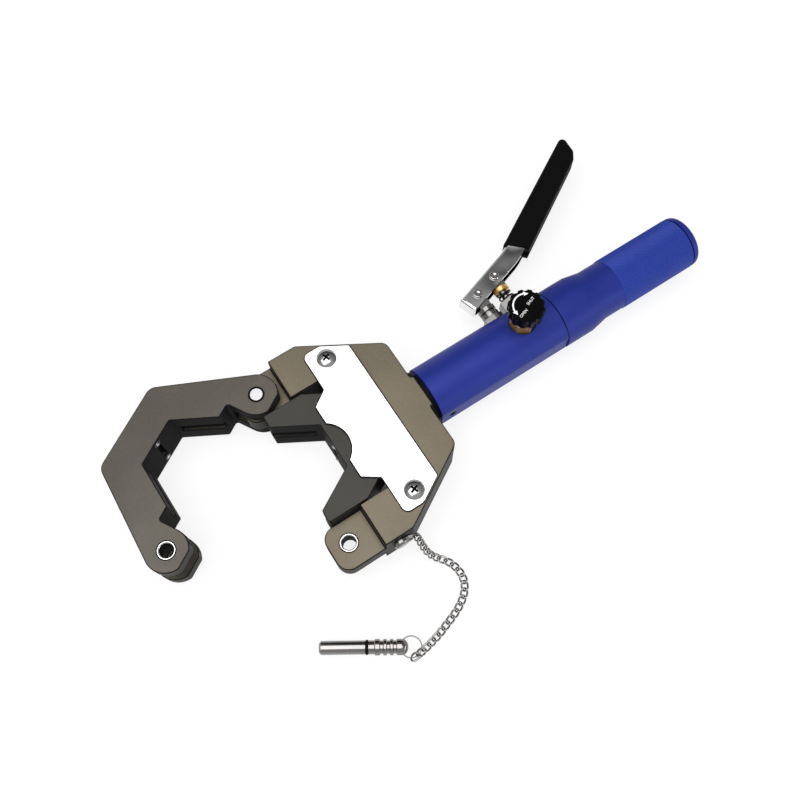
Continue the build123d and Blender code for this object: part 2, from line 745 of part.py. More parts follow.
def oil_bladder():
    neck_r = nipple_d / 2
    wide_r = bladder_d / 2
    swell_x = nipple_end_x + bladder_shoulder
    tail_x = plug_x - bladder_room
    fall_x = tail_x - bladder_shoulder
    return turned(
        (rear_spigot_x + side_gap, neck_r), (rear_spigot_x + side_gap, neck_r + bladder_wall),
        (nipple_end_x, neck_r + bladder_wall), (swell_x, wide_r), (fall_x, wide_r),
        (tail_x, wide_r - bladder_shoulder), (tail_x, 0), (tail_x - bladder_wall, 0),
        (tail_x - bladder_wall, wide_r - bladder_shoulder - bladder_wall), (fall_x, wide_r - bladder_wall),
        (swell_x, wide_r - bladder_wall), (nipple_end_x, neck_r))


# Lever, bent at one line, and its outer web facing away from the handle

def heading(angle):
    """Unit vector at an angle in the XY plane, and the one a quarter turn further."""
    a = radians(angle)
    return Vector(cos(a), sin(a)), Vector(-sin(a), cos(a))


pivot = Vector(pivot_x, pivot_y)
bare_dir, bare_up = heading(lever_angle)
grip_dir, grip_up = heading(lever_angle + lever_bend)
bend_up = heading(lever_angle + lever_bend / 2)[1] / cos(radians(lever_bend / 2))
web_bend = pivot + bare_dir * bend_reach + bare_up * web_height
channel_tip = grip_start + grip_reach - channel_short


def lever_strip(top, bottom, tail, tip):
    """Side view of the lever between two depths below its outer web."""
    start = pivot - bare_dir * tail + bare_up * web_height
    end = web_bend + grip_dir * tip
    corners = [start - bare_up * top, web_bend - bend_up * top, end - grip_up * top,
               end - grip_up * bottom, web_bend - bend_up * bottom, start - bare_up * bottom]
    points = [(c.X, c.Y) for c in corners]
    strip = rounded(flat_shape(points), [points[1]], bend_r + top)
    return rounded(strip, [points[4]], bend_r + bottom)


def end_corner():
    """What is cut off to round the inner corner of the channel's closed end, in side view."""
    corner = pivot - bare_dir * lever_tail + bare_up * (web_height - channel_depth)
    sides = [corner, corner + bare_dir * channel_end_r, corner + (bare_dir + bare_up) * channel_end_r,
             corner + bare_up * channel_end_r]
    middle = sides[2]
    return flat_shape([(c.X, c.Y) for c in sides]) - Pos(middle.X, middle.Y) * Circle(channel_end_r)


def is_web_edge(edge):
    """True for the edges where the outer web or the closed end meets a side of the lever."""
    middle = edge.position_at(0.5)
    spot = Vector(middle.X, middle.Y)
    on_web = (spot - pivot).dot(bare_up) > web_height - near or (spot - web_bend).dot(grip_up) > -near
    on_end = (spot - pivot).dot(bare_dir) < near - lever_tail
    return abs(middle.Z) > near and (on_web or on_end)


def lever_channel():
    solid = plate_of(lever_strip(0, channel_depth, lever_tail, channel_tip), channel_width)
    solid = fillet([e for e in solid.edges() if is_web_edge(e)], channel_edge_r)
    inside = lever_strip(channel_wall, channel_depth + over, lever_tail - channel_wall, channel_tip + over)
    solid -= plate_of(inside, channel_width - 2 * channel_wall)
    solid -= plate_of(end_corner(), channel_width)
    for x, y in ((pivot_x, pivot_y), (plunger_x, plunger_y)):
        solid -= rod_z(rivet_d / 2, -channel_width, channel_width, x, y)
    return solid


def lever_grip():
    start = web_bend + grip_dir * grip_start + grip_up * grip_wall
    corners = [(0, 0), (grip_reach, 0), (grip_reach - grip_tip_run, grip_tip_depth),
               (grip_reach - grip_heel_run, grip_heel_depth), (grip_mouth_run, grip_mouth_depth)]
    places = [start + grip_dir * along - grip_up * down for along, down in corners]
    points = [(p.X, p.Y) for p in places]
    solid = plate_of(rounded(flat_shape(points), points[1:4], grip_corner_r), grip_width)
    solid = fillet([e for e in solid.edges() if abs(e.position_at(0.5).Z) > near], grip_round)
    solid -= plate_of(lever_strip(0, channel_depth, lever_tail, channel_tip), channel_width)
    seam = lever_strip(channel_wall, grip_mouth_depth + over, lever_tail, channel_tip)
    return solid - plate_of(seam, grip_seam)


def rivet(x, y):
    """Rivet through the lever with a dimpled head on each side."""
    side = channel_width / 2
    top = side + rivet_head_height
    head_r = rivet_head_d / 2
    half = [(0, top - dimple_depth), (dimple_d / 2, top), (head_r - rivet_edge, top),
            (head_r, top - rivet_edge), (head_r, side), (rivet_d / 2, side)]
    profile = half + [(r, -z) for r, z in reversed(half)]
    corners = [(r, 0, z) for r, z in profile]
    return Pos(x, y, 0) * revolve(make_face(Polyline(*corners, close=True)), Axis.Z)


def pivot_post():
    eye_r = eye_d / 2
    hex_top = pump_flat_y + post_hex_height
    collar_top = pivot_y - hypot(post_collar_d / 2, channel_depth - web_height) - post_clear
    groove_y = (hex_top + collar_top - post_groove_width) / 2
    post = Pos(pivot_x, pump_flat_y, 0) * Rot(-90, 0, 0) * hexagon(post_hex, post_hex_height)
    post += rod_y(post_groove_d / 2, hex_top, collar_top, pivot_x)
    post += rod_y(post_collar_d / 2, hex_top, groove_y, pivot_x)
    post += rod_y(post_collar_d / 2, groove_y + post_groove_width, collar_top, pivot_x)
    post += block(pivot_x - eye_r, pivot_x + eye_r, collar_top, pivot_y, -eye_thick / 2, eye_thick / 2)
    post += rod_z(eye_r, -eye_thick / 2, eye_thick / 2, pivot_x, pivot_y)
    post += rod_y(post_stub_d / 2, pump_flat_y - post_stub_length, pump_flat_y, pivot_x)
    return post - rod_z(rivet_d / 2 + run_gap, -half_thick, half_thick, pivot_x, pivot_y)


# Pump

def plunger_groove(inner_r):
    y = pump_flat_y - gland_stub_length / 2
    outer_r = plunger_d / 2 + run_gap + seal_size
    return rod_y(outer_r, y, y + seal_size, plunger_x) - rod_y(inner_r, y, y + seal_size, plunger_x)


def gland_nut():
    foot = pump_flat_y - gland_stub_length
    top = pump_flat_y + gland_height
    nut = Pos(plunger_x, pump_flat_y, 0) * Rot(-90, 0, 0) * hexagon(gland_hex, gland_height)
    nut -= rod_y(gland_cup_d / 2, pump_flat_y + gland_floor, top + over, plunger_x)
    nut += rod_y(gland_stub_d / 2, foot, pump_flat_y, plunger_x)
    nut -= rod_y(plunger_d / 2 + run_gap, foot - over, top, plunger_x)
    return nut - plunger_groove(plunger_d / 2)


def plunger_seal():
    return plunger_groove(plunger_d / 2 + seal_gap)


def plunger():
    eye_r = eye_d / 2
    half = eye_thick / 2
    bar = rod_y(plunger_d / 2, plunger_low_y + plunger_lift, plunger_y - eye_r, plunger_x)
    bar += block(plunger_x - eye_r, plunger_x + eye_r, collar_top_y, plunger_y, -half, half)
    bar += rod_z(eye_r, -half, half, plunger_x - plunger_slot, plunger_y)
    bar += rod_z(eye_r, -half, half, plunger_x + plunger_slot, plunger_y)
    slot = Pos(plunger_x, plunger_y) * SlotCenterToCenter(2 * plunger_slot, rivet_d + 2 * run_gap)
    return bar - plate_of(slot, head_thick)


def plunger_collar():
    foot = collar_top_y - collar_thick
    collar = rod_y(collar_d / 2, foot, collar_top_y, plunger_x)
    return collar - rod_y(plunger_d / 2, foot, collar_top_y, plunger_x)


def pump_spring():
    seat = pump_flat_y + gland_floor
    length = collar_top_y - collar_thick - seat
    spring = coil(pump_coil_d, pump_wire_d, pump_turns, length)
    return Pos(plunger_x, seat, 0) * Rot(-90, 0, 0) * spring


# Release valve

def release_body():
    body = Pos(knob_x, knob_y, release_seat_z) * hexagon(release_hex, release_height)
    body += rod_z(release_stub_d / 2, needle_foot_z, release_seat_z, knob_x, knob_y)
    return body - rod_z(needle_d / 2 + run_gap, -half_thick, knob_top_z, knob_x, knob_y)


def release_needle():
    stem = rod_z(needle_d / 2, needle_foot_z, knob_bottom_z + needle_socket, knob_x, knob_y)
    return stem + rod_z(needle_tip_d / 2, needle_foot_z - needle_tip_length, needle_foot_z, knob_x, knob_y)


def release_knob():
    rim = Circle(knob_d / 2)
    for place in PolarLocations(knob_d / 2 + scallop_d / 2 - scallop_depth, knob_scallops):
        rim -= place * Circle(scallop_d / 2)
    crown = extrude(rim, amount=knob_height)
    crown = chamfer(crown.faces().sort_by(Axis.Z)[-1].edges(), knob_edge)
    knob = Pos(knob_x, knob_y, knob_top_z - knob_height) * crown
    knob += rod_z(knob_hub_d / 2, knob_bottom_z, knob_top_z - knob_height, knob_x, knob_y)
    return knob - rod_z(needle_d / 2, knob_bottom_z - over, knob_bottom_z + needle_socket, knob_x, knob_y)


# Chain and lock pin

def chain_screw():
    head_y = chain_seat_y - chain_screw_head_height
    head = rod_y(chain_screw_head_d / 2, head_y, chain_seat_y, chain_screw_x, chain_screw_z)
    rim = head.edges().filter_by(GeomType.CIRCLE).sort_by(Axis.Y)[0]
    head = fillet(rim, chain_screw_edge_r)
    shank_end = -head_half + chain_screw_length
    return head + rod_y(chain_screw_d / 2, chain_seat_y, shank_end, chain_screw_x, chain_screw_z)


def chain_eyelet():
    """Tab under the screw's head, whose tip lifts off the head to take the first link."""
    foot = Circle(eyelet_width / 2)
    foot += Pos(eyelet_bend_at / 2, 0) * Rectangle(eyelet_bend_at, eyelet_tip_width)
    foot -= Circle(chain_screw_d / 2 + thread_gap)
    tip = Pos(eyelet_hole_at / 2, 0) * Rectangle(eyelet_hole_at, eyelet_tip_width)
    tip += Pos(eyelet_hole_at, 0) * Circle(eyelet_tip_width / 2)
    tip -= Pos(eyelet_hole_at, 0) * Circle(eyelet_hole_d / 2)
    lifted = Pos(eyelet_bend_at, 0, 0) * Rot(0, -eyelet_bend, 0) * extrude(tip, amount=eyelet_thick)
    tab = extrude(foot, amount=eyelet_thick) + lifted
    return Pos(chain_screw_x, -head_half, chain_screw_z) * Rot(90, 0, 0) * Rot(0, 0, eyelet_tilt) * tab


def chain_link():
    """One twisted link, its length along X, of wire with flat sides."""
    bend_r = (link_width - chain_wire_d) / 2
    half_run = (link_length - link_width) / 2

    def section(end, angle):
        a = radians(angle)
        lean = radians(end * link_twist * (half_run + bend_r * cos(a)) / (half_run + bend_r))
        out = Vector(cos(a), sin(a) * cos(lean), sin(a) * sin(lean)) * end
        along = Vector(-sin(a), cos(a) * cos(lean), cos(a) * sin(lean)) * end
        origin = out * bend_r + Vector(end * half_run, 0, 0)
        return Plane(origin=origin, x_dir=out, z_dir=along) * RegularPolygon(chain_wire_d / 2, wire_sides)

    link = Part()
    for end in (1, -1):
        link += loft([section(end, 90), section(-end, -90)], ruled=True)
        link += loft([section(end, angle) for angle in (-90, -45, 0, 45, 90)], ruled=True)
    return link


def chain():
    path = Spline(*chain_route)
    pitch = link_length - 2 * chain_wire_d - link_slack
    count = ceil(path.length / pitch)
    joints = [path @ (i / count) for i in range(count + 1)]
    link = chain_link()
    links = []
    for start, end in zip(joints, joints[1:]):
        run = end - start
        side = Vector(0, 0, 1).cross(run)
        links.append(Plane(origin=(start + end) / 2, x_dir=run, z_dir=run.cross(side)).location * link)
    print("chain links", count, "length", round(path.length, 1))
    return Compound(children=links)


def pin_frame():
    """Frame at the lock pin's plain end, X along the pin, Z up."""
    x, y = lock_pin_tip
    origin = Vector(x, y, floor_z + lock_grip_d / 2)
    return Plane(origin=origin, x_dir=Vector(*lock_pin_direction), z_dir=Vector(0, 0, 1)).location


def lock_pin():
    r = lock_pin_d / 2
    rib_r = lock_grip_d / 2
    profile = [(0, 0), (0, r - lock_pin_bevel), (lock_pin_bevel, r), (lock_grip_at, r)]
    profile += [(lock_grip_at, rib_r - lock_rib_edge), (lock_grip_at + lock_rib_edge, rib_r)]
    for x in lock_grip_grooves:
        x0 = x - lock_groove_width / 2
        x1 = x + lock_groove_width / 2
        foot = rib_r - lock_groove_depth
        profile += [(x0 - lock_rib_edge, rib_r), (x0, rib_r - lock_rib_edge), (x0, foot)]
        profile += [(x1, foot), (x1, rib_r - lock_rib_edge), (x1 + lock_rib_edge, rib_r)]
    bar = turned(*profile, (lock_pin_length, rib_r), (lock_pin_length, 0))
    bar = fillet(bar.faces().sort_by(Axis.X)[-1].edges(), lock_pin_dome)
    half = lock_oring_wire_d / 2
    bar -= ring_x(r + lock_oring_out - 2 * half, r + over, lock_oring_at - half, lock_oring_at + half)
    bar -= rod_y(lock_hole_d / 2, -rib_r - over, rib_r + over, lock_pin_length - lock_hole_at)
    return pin_frame() * bar


def lock_pin_oring():
    middle_r = (lock_pin_d - lock_oring_wire_d) / 2 + lock_oring_out
    section = Pos(lock_oring_at, middle_r) * RegularPolygon(lock_oring_wire_d / 2 - seal_gap, ring_sides)
    return pin_frame() * revolve(section, Axis.X)


def split_ring():
    ring_r = split_ring_d / 2
    sag = ring_r - sqrt(ring_r ** 2 - (lock_grip_d / 2) ** 2)
    centre_x = lock_pin_length - lock_hole_at + ring_r - sag / 2
    section = Plane.XZ * Pos(ring_r, 0) * RegularPolygon(split_wire_d / 2, wire_sides)
    return pin_frame() * Pos(centre_x, 0, 0) * revolve(section, Axis.Z)


inlet_ball, inlet_spring, inlet_retainer = check_valve(
    nipple_end_x, nipple_end_x - valve_bore_length, inlet_y)
outlet_ball, outlet_spring, outlet_retainer = check_valve(
    cylinder_end_x, cylinder_end_x + valve_bore_length, outlet_y)

pieces = {
    "head_yoke": head_yoke(),
    "front_cover_plate": cover_plate(True),
    "back_cover_plate": cover_plate(False),
    "cover_screws": cover_screws(),
    "hinge_bush": hinge_bush(),
    "lock_bush": lock_bush(),
    "jaw": jaw(),
    "hinge_pin": hinge_pin(),
    "tip_bushes": tip_bushes(),
    "jaw_detent_sleeves": swung(detent_sleeves(jaw_seat_x, 1)),
    "jaw_detent_balls": swung(detent_balls(jaw_seat_x, 1)),
    "ram": ram(),
    "ram_detent_sleeves": detent_sleeves(ram_seat_x, -1),
    "ram_detent_balls": detent_balls(ram_seat_x, -1),
    "piston_rod": piston_rod(),
    "piston_seal": piston_seal(),
    "rod_bush": rod_bush(),
    "return_spring": return_spring(),
    "cylinder_seal": cylinder_seal(),
    "pump_body": pump_body(),
    "body_set_screw": body_set_screw(),
    "inlet_ball": inlet_ball,
    "inlet_spring": inlet_spring,
    "inlet_retainer": inlet_retainer,
    "outlet_ball": outlet_ball,
    "outlet_spring": outlet_spring,
    "outlet_retainer": outlet_retainer,
    "handle_tube": handle_tube(),
    "end_cap": end_cap(),
    "cap_seal": cap_seal(),
    "oil_bladder": oil_bladder(),
    "lever_channel": lever_channel(),
    "lever_grip": lever_grip(),
    "pivot_rivet": rivet(pivot_x, pivot_y),
    "plunger_rivet": rivet(plunger_x, plunger_y),
    "pivot_post": pivot_post(),
    "gland_nut": gland_nut(),
    "plunger_seal": plunger_seal(),
    "plunger": plunger(),
    "plunger_collar": plunger_collar(),
    "pump_spring": pump_spring(),
    "release_body": release_body(),
    "release_needle": release_needle(),
    "release_knob": release_knob(),
    "chain_screw": chain_screw(),
    "chain_eyelet": chain_eyelet(),
    "chain": chain(),
    "lock_pin": lock_pin(),
    "lock_pin_oring": lock_pin_oring(),
    "split_ring": split_ring(),
}

os.makedirs("parts", exist_ok=True)
for name, piece in pieces.items():
    export_step(piece, f"parts/{name}.step")
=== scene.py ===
# %% [markdown]
# # A hand-pumped hydraulic hose crimper
#
# The tool lies on its back: the C-shaped jaw is swung open, the lock pin is out and lies beside it on its
# chain, and the pump lever stands away from the blue handle. The CAD model is the frame. This notebook
# gives it bevelled edges, finishes, the chain, the printed knob and a plain studio.

# %% Load the CAD frame
import bmesh
import bpy
import json
from bisect import bisect_left
from math import ceil, cos, pi, radians, sin
from mathutils import Matrix, Vector

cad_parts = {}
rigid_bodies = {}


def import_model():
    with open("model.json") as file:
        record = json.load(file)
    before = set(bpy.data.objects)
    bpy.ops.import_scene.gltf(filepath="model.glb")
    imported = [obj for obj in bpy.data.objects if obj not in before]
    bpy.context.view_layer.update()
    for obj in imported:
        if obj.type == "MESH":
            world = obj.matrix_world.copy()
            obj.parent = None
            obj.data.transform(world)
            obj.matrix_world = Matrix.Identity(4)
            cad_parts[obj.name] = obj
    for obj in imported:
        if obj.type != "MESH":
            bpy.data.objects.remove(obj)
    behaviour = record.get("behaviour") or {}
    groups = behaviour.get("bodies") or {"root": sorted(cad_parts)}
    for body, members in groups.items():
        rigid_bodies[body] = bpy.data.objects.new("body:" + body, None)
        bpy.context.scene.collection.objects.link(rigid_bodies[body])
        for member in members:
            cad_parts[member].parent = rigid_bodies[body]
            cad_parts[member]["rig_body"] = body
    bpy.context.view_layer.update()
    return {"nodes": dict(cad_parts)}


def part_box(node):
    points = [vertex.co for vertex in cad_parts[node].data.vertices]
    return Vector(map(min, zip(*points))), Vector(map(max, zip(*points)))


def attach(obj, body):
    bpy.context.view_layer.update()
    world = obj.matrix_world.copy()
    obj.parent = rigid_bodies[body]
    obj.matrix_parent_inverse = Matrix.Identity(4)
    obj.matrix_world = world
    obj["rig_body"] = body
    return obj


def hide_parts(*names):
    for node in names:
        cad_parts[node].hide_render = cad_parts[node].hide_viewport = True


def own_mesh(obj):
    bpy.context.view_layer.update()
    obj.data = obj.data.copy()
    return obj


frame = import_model()
scene = bpy.context.scene
scene.view_settings.view_transform = "Standard"
MM = 0.001
FLOOR_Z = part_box("cover_screws")[0].z
print("CAD nodes", len(frame["nodes"]), "floor at", round(FLOOR_Z / MM, 2), "mm")

# %% [markdown]
# ## Camera
#
# The photograph looks down on the tool from the jaw's side. Its camera was found by matching known corners
# of the model to the picture, which gives a place, three axes and a focal length. A camera could also be
# aimed at a point, but that leaves its roll open, so the axes go straight into its matrix. Blender's camera
# looks along its own -Z, so the third column is the view direction turned round.

# %% Camera
camera_place = Vector((-26.98, -170.58, 581.37)) * MM
view_right = Vector((0.83977, -0.54285, -0.00989))
view_up = Vector((0.51365, 0.78843, 0.33846))
view_back = Vector((-0.17593, -0.28931, 0.94093))
lens = bpy.data.cameras.new("photo_camera")
lens.sensor_width = 36.0
lens.lens = 40.5
lens.clip_start = 0.01
camera = bpy.data.objects.new("photo_camera", lens)
axes = Matrix((view_right, view_up, view_back)).transposed().to_4x4()
camera.matrix_world = Matrix.Translation(camera_place) @ axes
scene.collection.objects.link(camera)
scene.camera = camera
print("camera", [round(c, 3) for c in camera.location])

# %% [markdown]
# ## Studio floor
#
# A product shot on white needs a pale floor. This one ends in a round wall, so that a view from the side
# sees white behind the tool too. Both are part paint, part their own glow: paint alone goes grey away from
# the lamps, and glow alone takes no shadow. The Light Path node shows the same glow to the camera and in
# mirrors, and lights nothing else with it.

# %% Node helpers
def nodes_of(material):
    """Emptied node tree of a material, and its output node."""
    material.use_nodes = True
    tree = material.node_tree
    tree.nodes.clear()
    return tree, tree.nodes.new("ShaderNodeOutputMaterial")


def calc(tree, operation, a, b=None):
    """Math node on one or two values, each a number or a socket."""
    node = tree.nodes.new("ShaderNodeMath")
    node.operation = operation
    for socket, value in zip(node.inputs, (a, b)):
        if isinstance(value, (int, float)):
            socket.default_value = value
        elif value is not None:
            tree.links.new(value, socket)
    return node.outputs[0]


# %% Floor and backdrop
FLOOR_RADIUS, FLOOR_SIDES, FLOOR_MIDDLE_X, BACKDROP_HEIGHT = 8.0, 64, 0.1, 2.2
GLOW_SHARE = 0.8
floor_mesh = bpy.data.meshes.new("floor")
bm = bmesh.new()
bmesh.ops.create_circle(bm, cap_ends=True, segments=FLOOR_SIDES, radius=FLOOR_RADIUS)
wall = bmesh.ops.extrude_edge_only(bm, edges=bm.edges[:])["geom"]
wall_top = [g for g in wall if isinstance(g, bmesh.types.BMVert)]
bmesh.ops.translate(bm, verts=wall_top, vec=(0, 0, BACKDROP_HEIGHT))
bmesh.ops.translate(bm, verts=bm.verts, vec=(FLOOR_MIDDLE_X, 0, FLOOR_Z))
bm.to_mesh(floor_mesh)
bm.free()
floor = bpy.data.objects.new("floor", floor_mesh)
scene.collection.objects.link(floor)

pale = bpy.data.materials.new("pale_floor")
tree, out = nodes_of(pale)
paint = tree.nodes.new("ShaderNodeBsdfDiffuse")
paint.inputs["Color"].default_value = (0.93, 0.93, 0.93, 1)
glow = tree.nodes.new("ShaderNodeEmission")
glow.inputs["Color"].default_value = (1, 1, 1, 1)
rays = tree.nodes.new("ShaderNodeLightPath").outputs
seen = calc(tree, "MAXIMUM", rays["Is Camera Ray"], rays["Is Glossy Ray"])
seen = calc(tree, "MAXIMUM", seen, rays["Is Transmission Ray"])
lit = tree.nodes.new("ShaderNodeMixShader")
tree.links.new(calc(tree, "MULTIPLY", seen, GLOW_SHARE), lit.inputs[0])
tree.links.new(paint.outputs[0], lit.inputs[1])
tree.links.new(glow.outputs[0], lit.inputs[2])
tree.links.new(lit.outputs[0], out.inputs["Surface"])
floor_mesh.materials.append(pale)
print("floor", len(floor_mesh.polygons), "faces")

# %% [markdown]
# ## Light
#
# A broad lamp overhead gives the soft shadows of a studio: the larger a lamp, the softer its shadow, so a
# point lamp won't do. A low narrow strip puts a thin bright line along black edges. The surround is what
# polished metal mirrors. It is bright overhead and on the camera's side, fades almost to black on the far
# side, and has a bright band between two dark ones, which draws streaks across the chromed lever.

# %% Lamps
def soft_lamp(name, place, aim, size, watts):
    """Rectangular lamp at a place, aimed at a point, both in metres."""
    lamp = bpy.data.lights.new(name, "AREA")
    lamp.shape = "RECTANGLE"
    lamp.size, lamp.size_y = size
    lamp.energy = watts
    obj = bpy.data.objects.new(name, lamp)
    obj.location = place
    obj.rotation_euler = (Vector(aim) - Vector(place)).to_track_quat("-Z", "Y").to_euler()
    scene.collection.objects.link(obj)
    print(name, watts, "W")


soft_lamp("top_light", place=(-0.30, 0.02, 1.40), aim=(-0.30, 0.02, 0.0), size=(1.6, 1.35), watts=23.0)
soft_lamp("strip_light", place=(0.75, -1.00, 0.35), aim=(0.15, 0.0, 0.0), size=(0.9, 0.06), watts=3.0)

# %% Surround
BRIGHT_SIDE, SURROUND_LIFT = (-0.26, -0.43, 0.70), 0.3
surround = bpy.data.worlds.new("surround")
scene.world = surround
surround.use_nodes = True
tree = surround.node_tree
tree.nodes.clear()
toward = tree.nodes.new("ShaderNodeVectorMath")
toward.operation = "DOT_PRODUCT"
tree.links.new(tree.nodes.new("ShaderNodeTexCoord").outputs["Generated"], toward.inputs[0])
toward.inputs[1].default_value = BRIGHT_SIDE
fade = tree.nodes.new("ShaderNodeValToRGB")
stops = fade.color_ramp.elements
bands = ((0.1, 0.05), (0.55, 0.42), (0.605, 0.05), (0.64, 1.0), (0.672, 0.03), (0.73, 0.45), (1.0, 0.65))
while len(stops) < len(bands):
    stops.new(0.5)
for stop, (position, level) in zip(stops, bands):
    stop.position = position
    stop.color = (level, level, level, 1)
tree.links.new(calc(tree, "ADD", toward.outputs["Value"], SURROUND_LIFT), fade.inputs[0])
background = tree.nodes.new("ShaderNodeBackground")
tree.links.new(fade.outputs[0], background.inputs["Color"])
tree.links.new(background.outputs[0], tree.nodes.new("ShaderNodeOutputWorld").inputs["Surface"])
print("surround", len(stops), "stops")

# %% [markdown]
# ## Shared surface effects
#
# Three effects come back in many finishes, so each is a node group with its own inputs. *Grain* is the fine
# speckle of a phosphated or anodised surface, with slow clouds of tone. *Edges* is a mask that is bright
# near a corner, where the finishes paint shade. *Turning* gives the rings that a lathe leaves round an
# axis. The patterns are on Object coordinates, which here are metres in the tool's own frame, so each has a
# real size, as the reach of an edge does.

# %% Group helpers
def new_group(name, inputs, outputs):
    """Node group with its sockets, whose inputs are pairs of a name and a first value."""
    group = bpy.data.node_groups.new(name, "ShaderNodeTree")
    for label, value in inputs:
        kind = "NodeSocketVector" if isinstance(value, tuple) else "NodeSocketFloat"
        socket = group.interface.new_socket(label, in_out="INPUT", socket_type=kind)
        socket.default_value = value
    for label in outputs:
        group.interface.new_socket(label, in_out="OUTPUT", socket_type="NodeSocketFloat")
    return group, group.nodes.new("NodeGroupInput"), group.nodes.new("NodeGroupOutput")


def noise(tree, vector, scale, detail=3.0):
    """Noise texture, whose scale is a number or a socket."""
    node = tree.nodes.new("ShaderNodeTexNoise")
    node.inputs["Detail"].default_value = detail
    tree.links.new(vector, node.inputs["Vector"])
    if isinstance(scale, (int, float)):
        node.inputs["Scale"].default_value = scale
    else:
        tree.links.new(scale, node.inputs["Scale"])
    return node.outputs[0]


# %% Grain
CLOUDS_A_METRE = 22.0
grain, g_in, g_out = new_group("Grain", [("Scale", 2500.0)], ["Speckle", "Cloud"])
place = grain.nodes.new("ShaderNodeTexCoord").outputs["Object"]
grain.links.new(noise(grain, place, g_in.outputs["Scale"], detail=2.0), g_out.inputs["Speckle"])
grain.links.new(noise(grain, place, CLOUDS_A_METRE, detail=4.0), g_out.inputs["Cloud"])
print("group", grain.name)

# %% Edges
# Near a corner the mask is bright, and the finishes darken their colour there as painted shade.
EDGE_CONTRAST = 3.4
edges, g_in, g_out = new_group("Edges", [("Reach", 0.004)], ["Near"])
rounding = edges.nodes.new("ShaderNodeBevel")
rounding.samples = 8
edges.links.new(g_in.outputs["Reach"], rounding.inputs["Radius"])
agree = edges.nodes.new("ShaderNodeVectorMath")
agree.operation = "DOT_PRODUCT"
edges.links.new(rounding.outputs["Normal"], agree.inputs[0])
edges.links.new(edges.nodes.new("ShaderNodeNewGeometry").outputs["Normal"], agree.inputs[1])
turned_away = calc(edges, "SUBTRACT", 1.0, agree.outputs["Value"])
strong = calc(edges, "MULTIPLY", turned_away, EDGE_CONTRAST)
edges.links.new(calc(edges, "MINIMUM", strong, 1.0), g_out.inputs["Near"])
print("group", edges.name)

# %% Turning
PATCHES_A_METRE = 60.0
turning, g_in, g_out = new_group("Turning", [("Centre", (0.0, 0.0, 0.0)), ("Lines", 4000.0)], ["Rings"])
place = turning.nodes.new("ShaderNodeTexCoord").outputs["Object"]
apart = turning.nodes.new("ShaderNodeVectorMath")
apart.operation = "DISTANCE"
turning.links.new(place, apart.inputs[0])
turning.links.new(g_in.outputs["Centre"], apart.inputs[1])
phase = calc(turning, "MULTIPLY", apart.outputs["Value"], g_in.outputs["Lines"])
patchy = calc(turning, "MULTIPLY", calc(turning, "SINE", phase), noise(turning, place, PATCHES_A_METRE))
turning.links.new(patchy, g_out.inputs["Rings"])
print("group", turning.name)

# %% [markdown]
# ## Finishes
#
# Each finish starts from a Principled shader with plain values, and gets its speckle, clouds or rings on the
# base colour, the roughness and a bump. Photographed textures could do that too, but patterns made by nodes
# need no files and no unwrapping. Helper functions only place nodes: what makes the satin head differ from
# the polished lever are the numbers in the cells below.

# %% Shader helpers
def grey(level):
    return (level, level, level)


def principled(name, color, metallic, roughness):
    """New material with a plain Principled shader."""
    material = bpy.data.materials.new(name)
    tree, out = nodes_of(material)
    shader = tree.nodes.new("ShaderNodeBsdfPrincipled")
    shader.inputs["Base Color"].default_value = (*color, 1)
    shader.inputs["Metallic"].default_value = metallic
    shader.inputs["Roughness"].default_value = roughness
    tree.links.new(shader.outputs[0], out.inputs["Surface"])
    print("finish", name)
    return material, tree, shader


def use_group(tree, group, **values):
    """One of the shared effects, with its own values."""
    node = tree.nodes.new("ShaderNodeGroup")
    node.node_tree = group
    for label, value in values.items():
        node.inputs[label].default_value = value
    return node


def ramp(tree, value, low, high, dark, light):
    """Colour that runs from dark to light while a value goes from low to high."""
    node = tree.nodes.new("ShaderNodeValToRGB")
    node.color_ramp.elements[0].position = low
    node.color_ramp.elements[0].color = (*dark, 1)
    node.color_ramp.elements[1].position = high
    node.color_ramp.elements[1].color = (*light, 1)
    tree.links.new(value, node.inputs[0])
    return node.outputs[0]


def spread(tree, value, low, high):
    """A value from 0 to 1, spread from low to high."""
    node = tree.nodes.new("ShaderNodeMapRange")
    node.inputs["To Min"].default_value = low
    node.inputs["To Max"].default_value = high
    tree.links.new(value, node.inputs["Value"])
    return node.outputs[0]


def bump(tree, shader, height, distance, strength=1.0):
    """Fine relief from a height, as deep as the distance in metres."""
    node = tree.nodes.new("ShaderNodeBump")
    node.inputs["Strength"].default_value = strength
    node.inputs["Distance"].default_value = distance
    tree.links.new(height, node.inputs["Height"])
    tree.links.new(node.outputs[0], shader.inputs["Normal"])


def darkened(tree, color, near, shade):
    """The colour, multiplied by a painted shade where a mask says that an edge is near."""
    node = tree.nodes.new("ShaderNodeMix")
    node.data_type = "RGBA"
    node.blend_type = "MULTIPLY"
    node.inputs["B"].default_value = (*grey(shade), 1)
    tree.links.new(near, node.inputs["Factor"])
    tree.links.new(color, node.inputs["A"])
    return node.outputs["Result"]


# %% [markdown]
# ## Satin finishes
#
# The head, the jaw and the ram have the dark satin skin of phosphated or blackened steel, and the pump body
# and the handle are anodised blue. All of these have a fine speckle, and painted shade darkens them a little
# along corners. Bare metal would mirror the studio too clearly, so the shader is only partly metallic, and
# the speckle moves its tone, its roughness and a very shallow bump together.

# %% Satin finish
SKIN_GRAIN, TONE_LOW, TONE_HIGH = 1300.0, 0.35, 0.65
SPECKLE_DEPTH, SPECKLE_STRENGTH = 0.02 * MM, 0.35


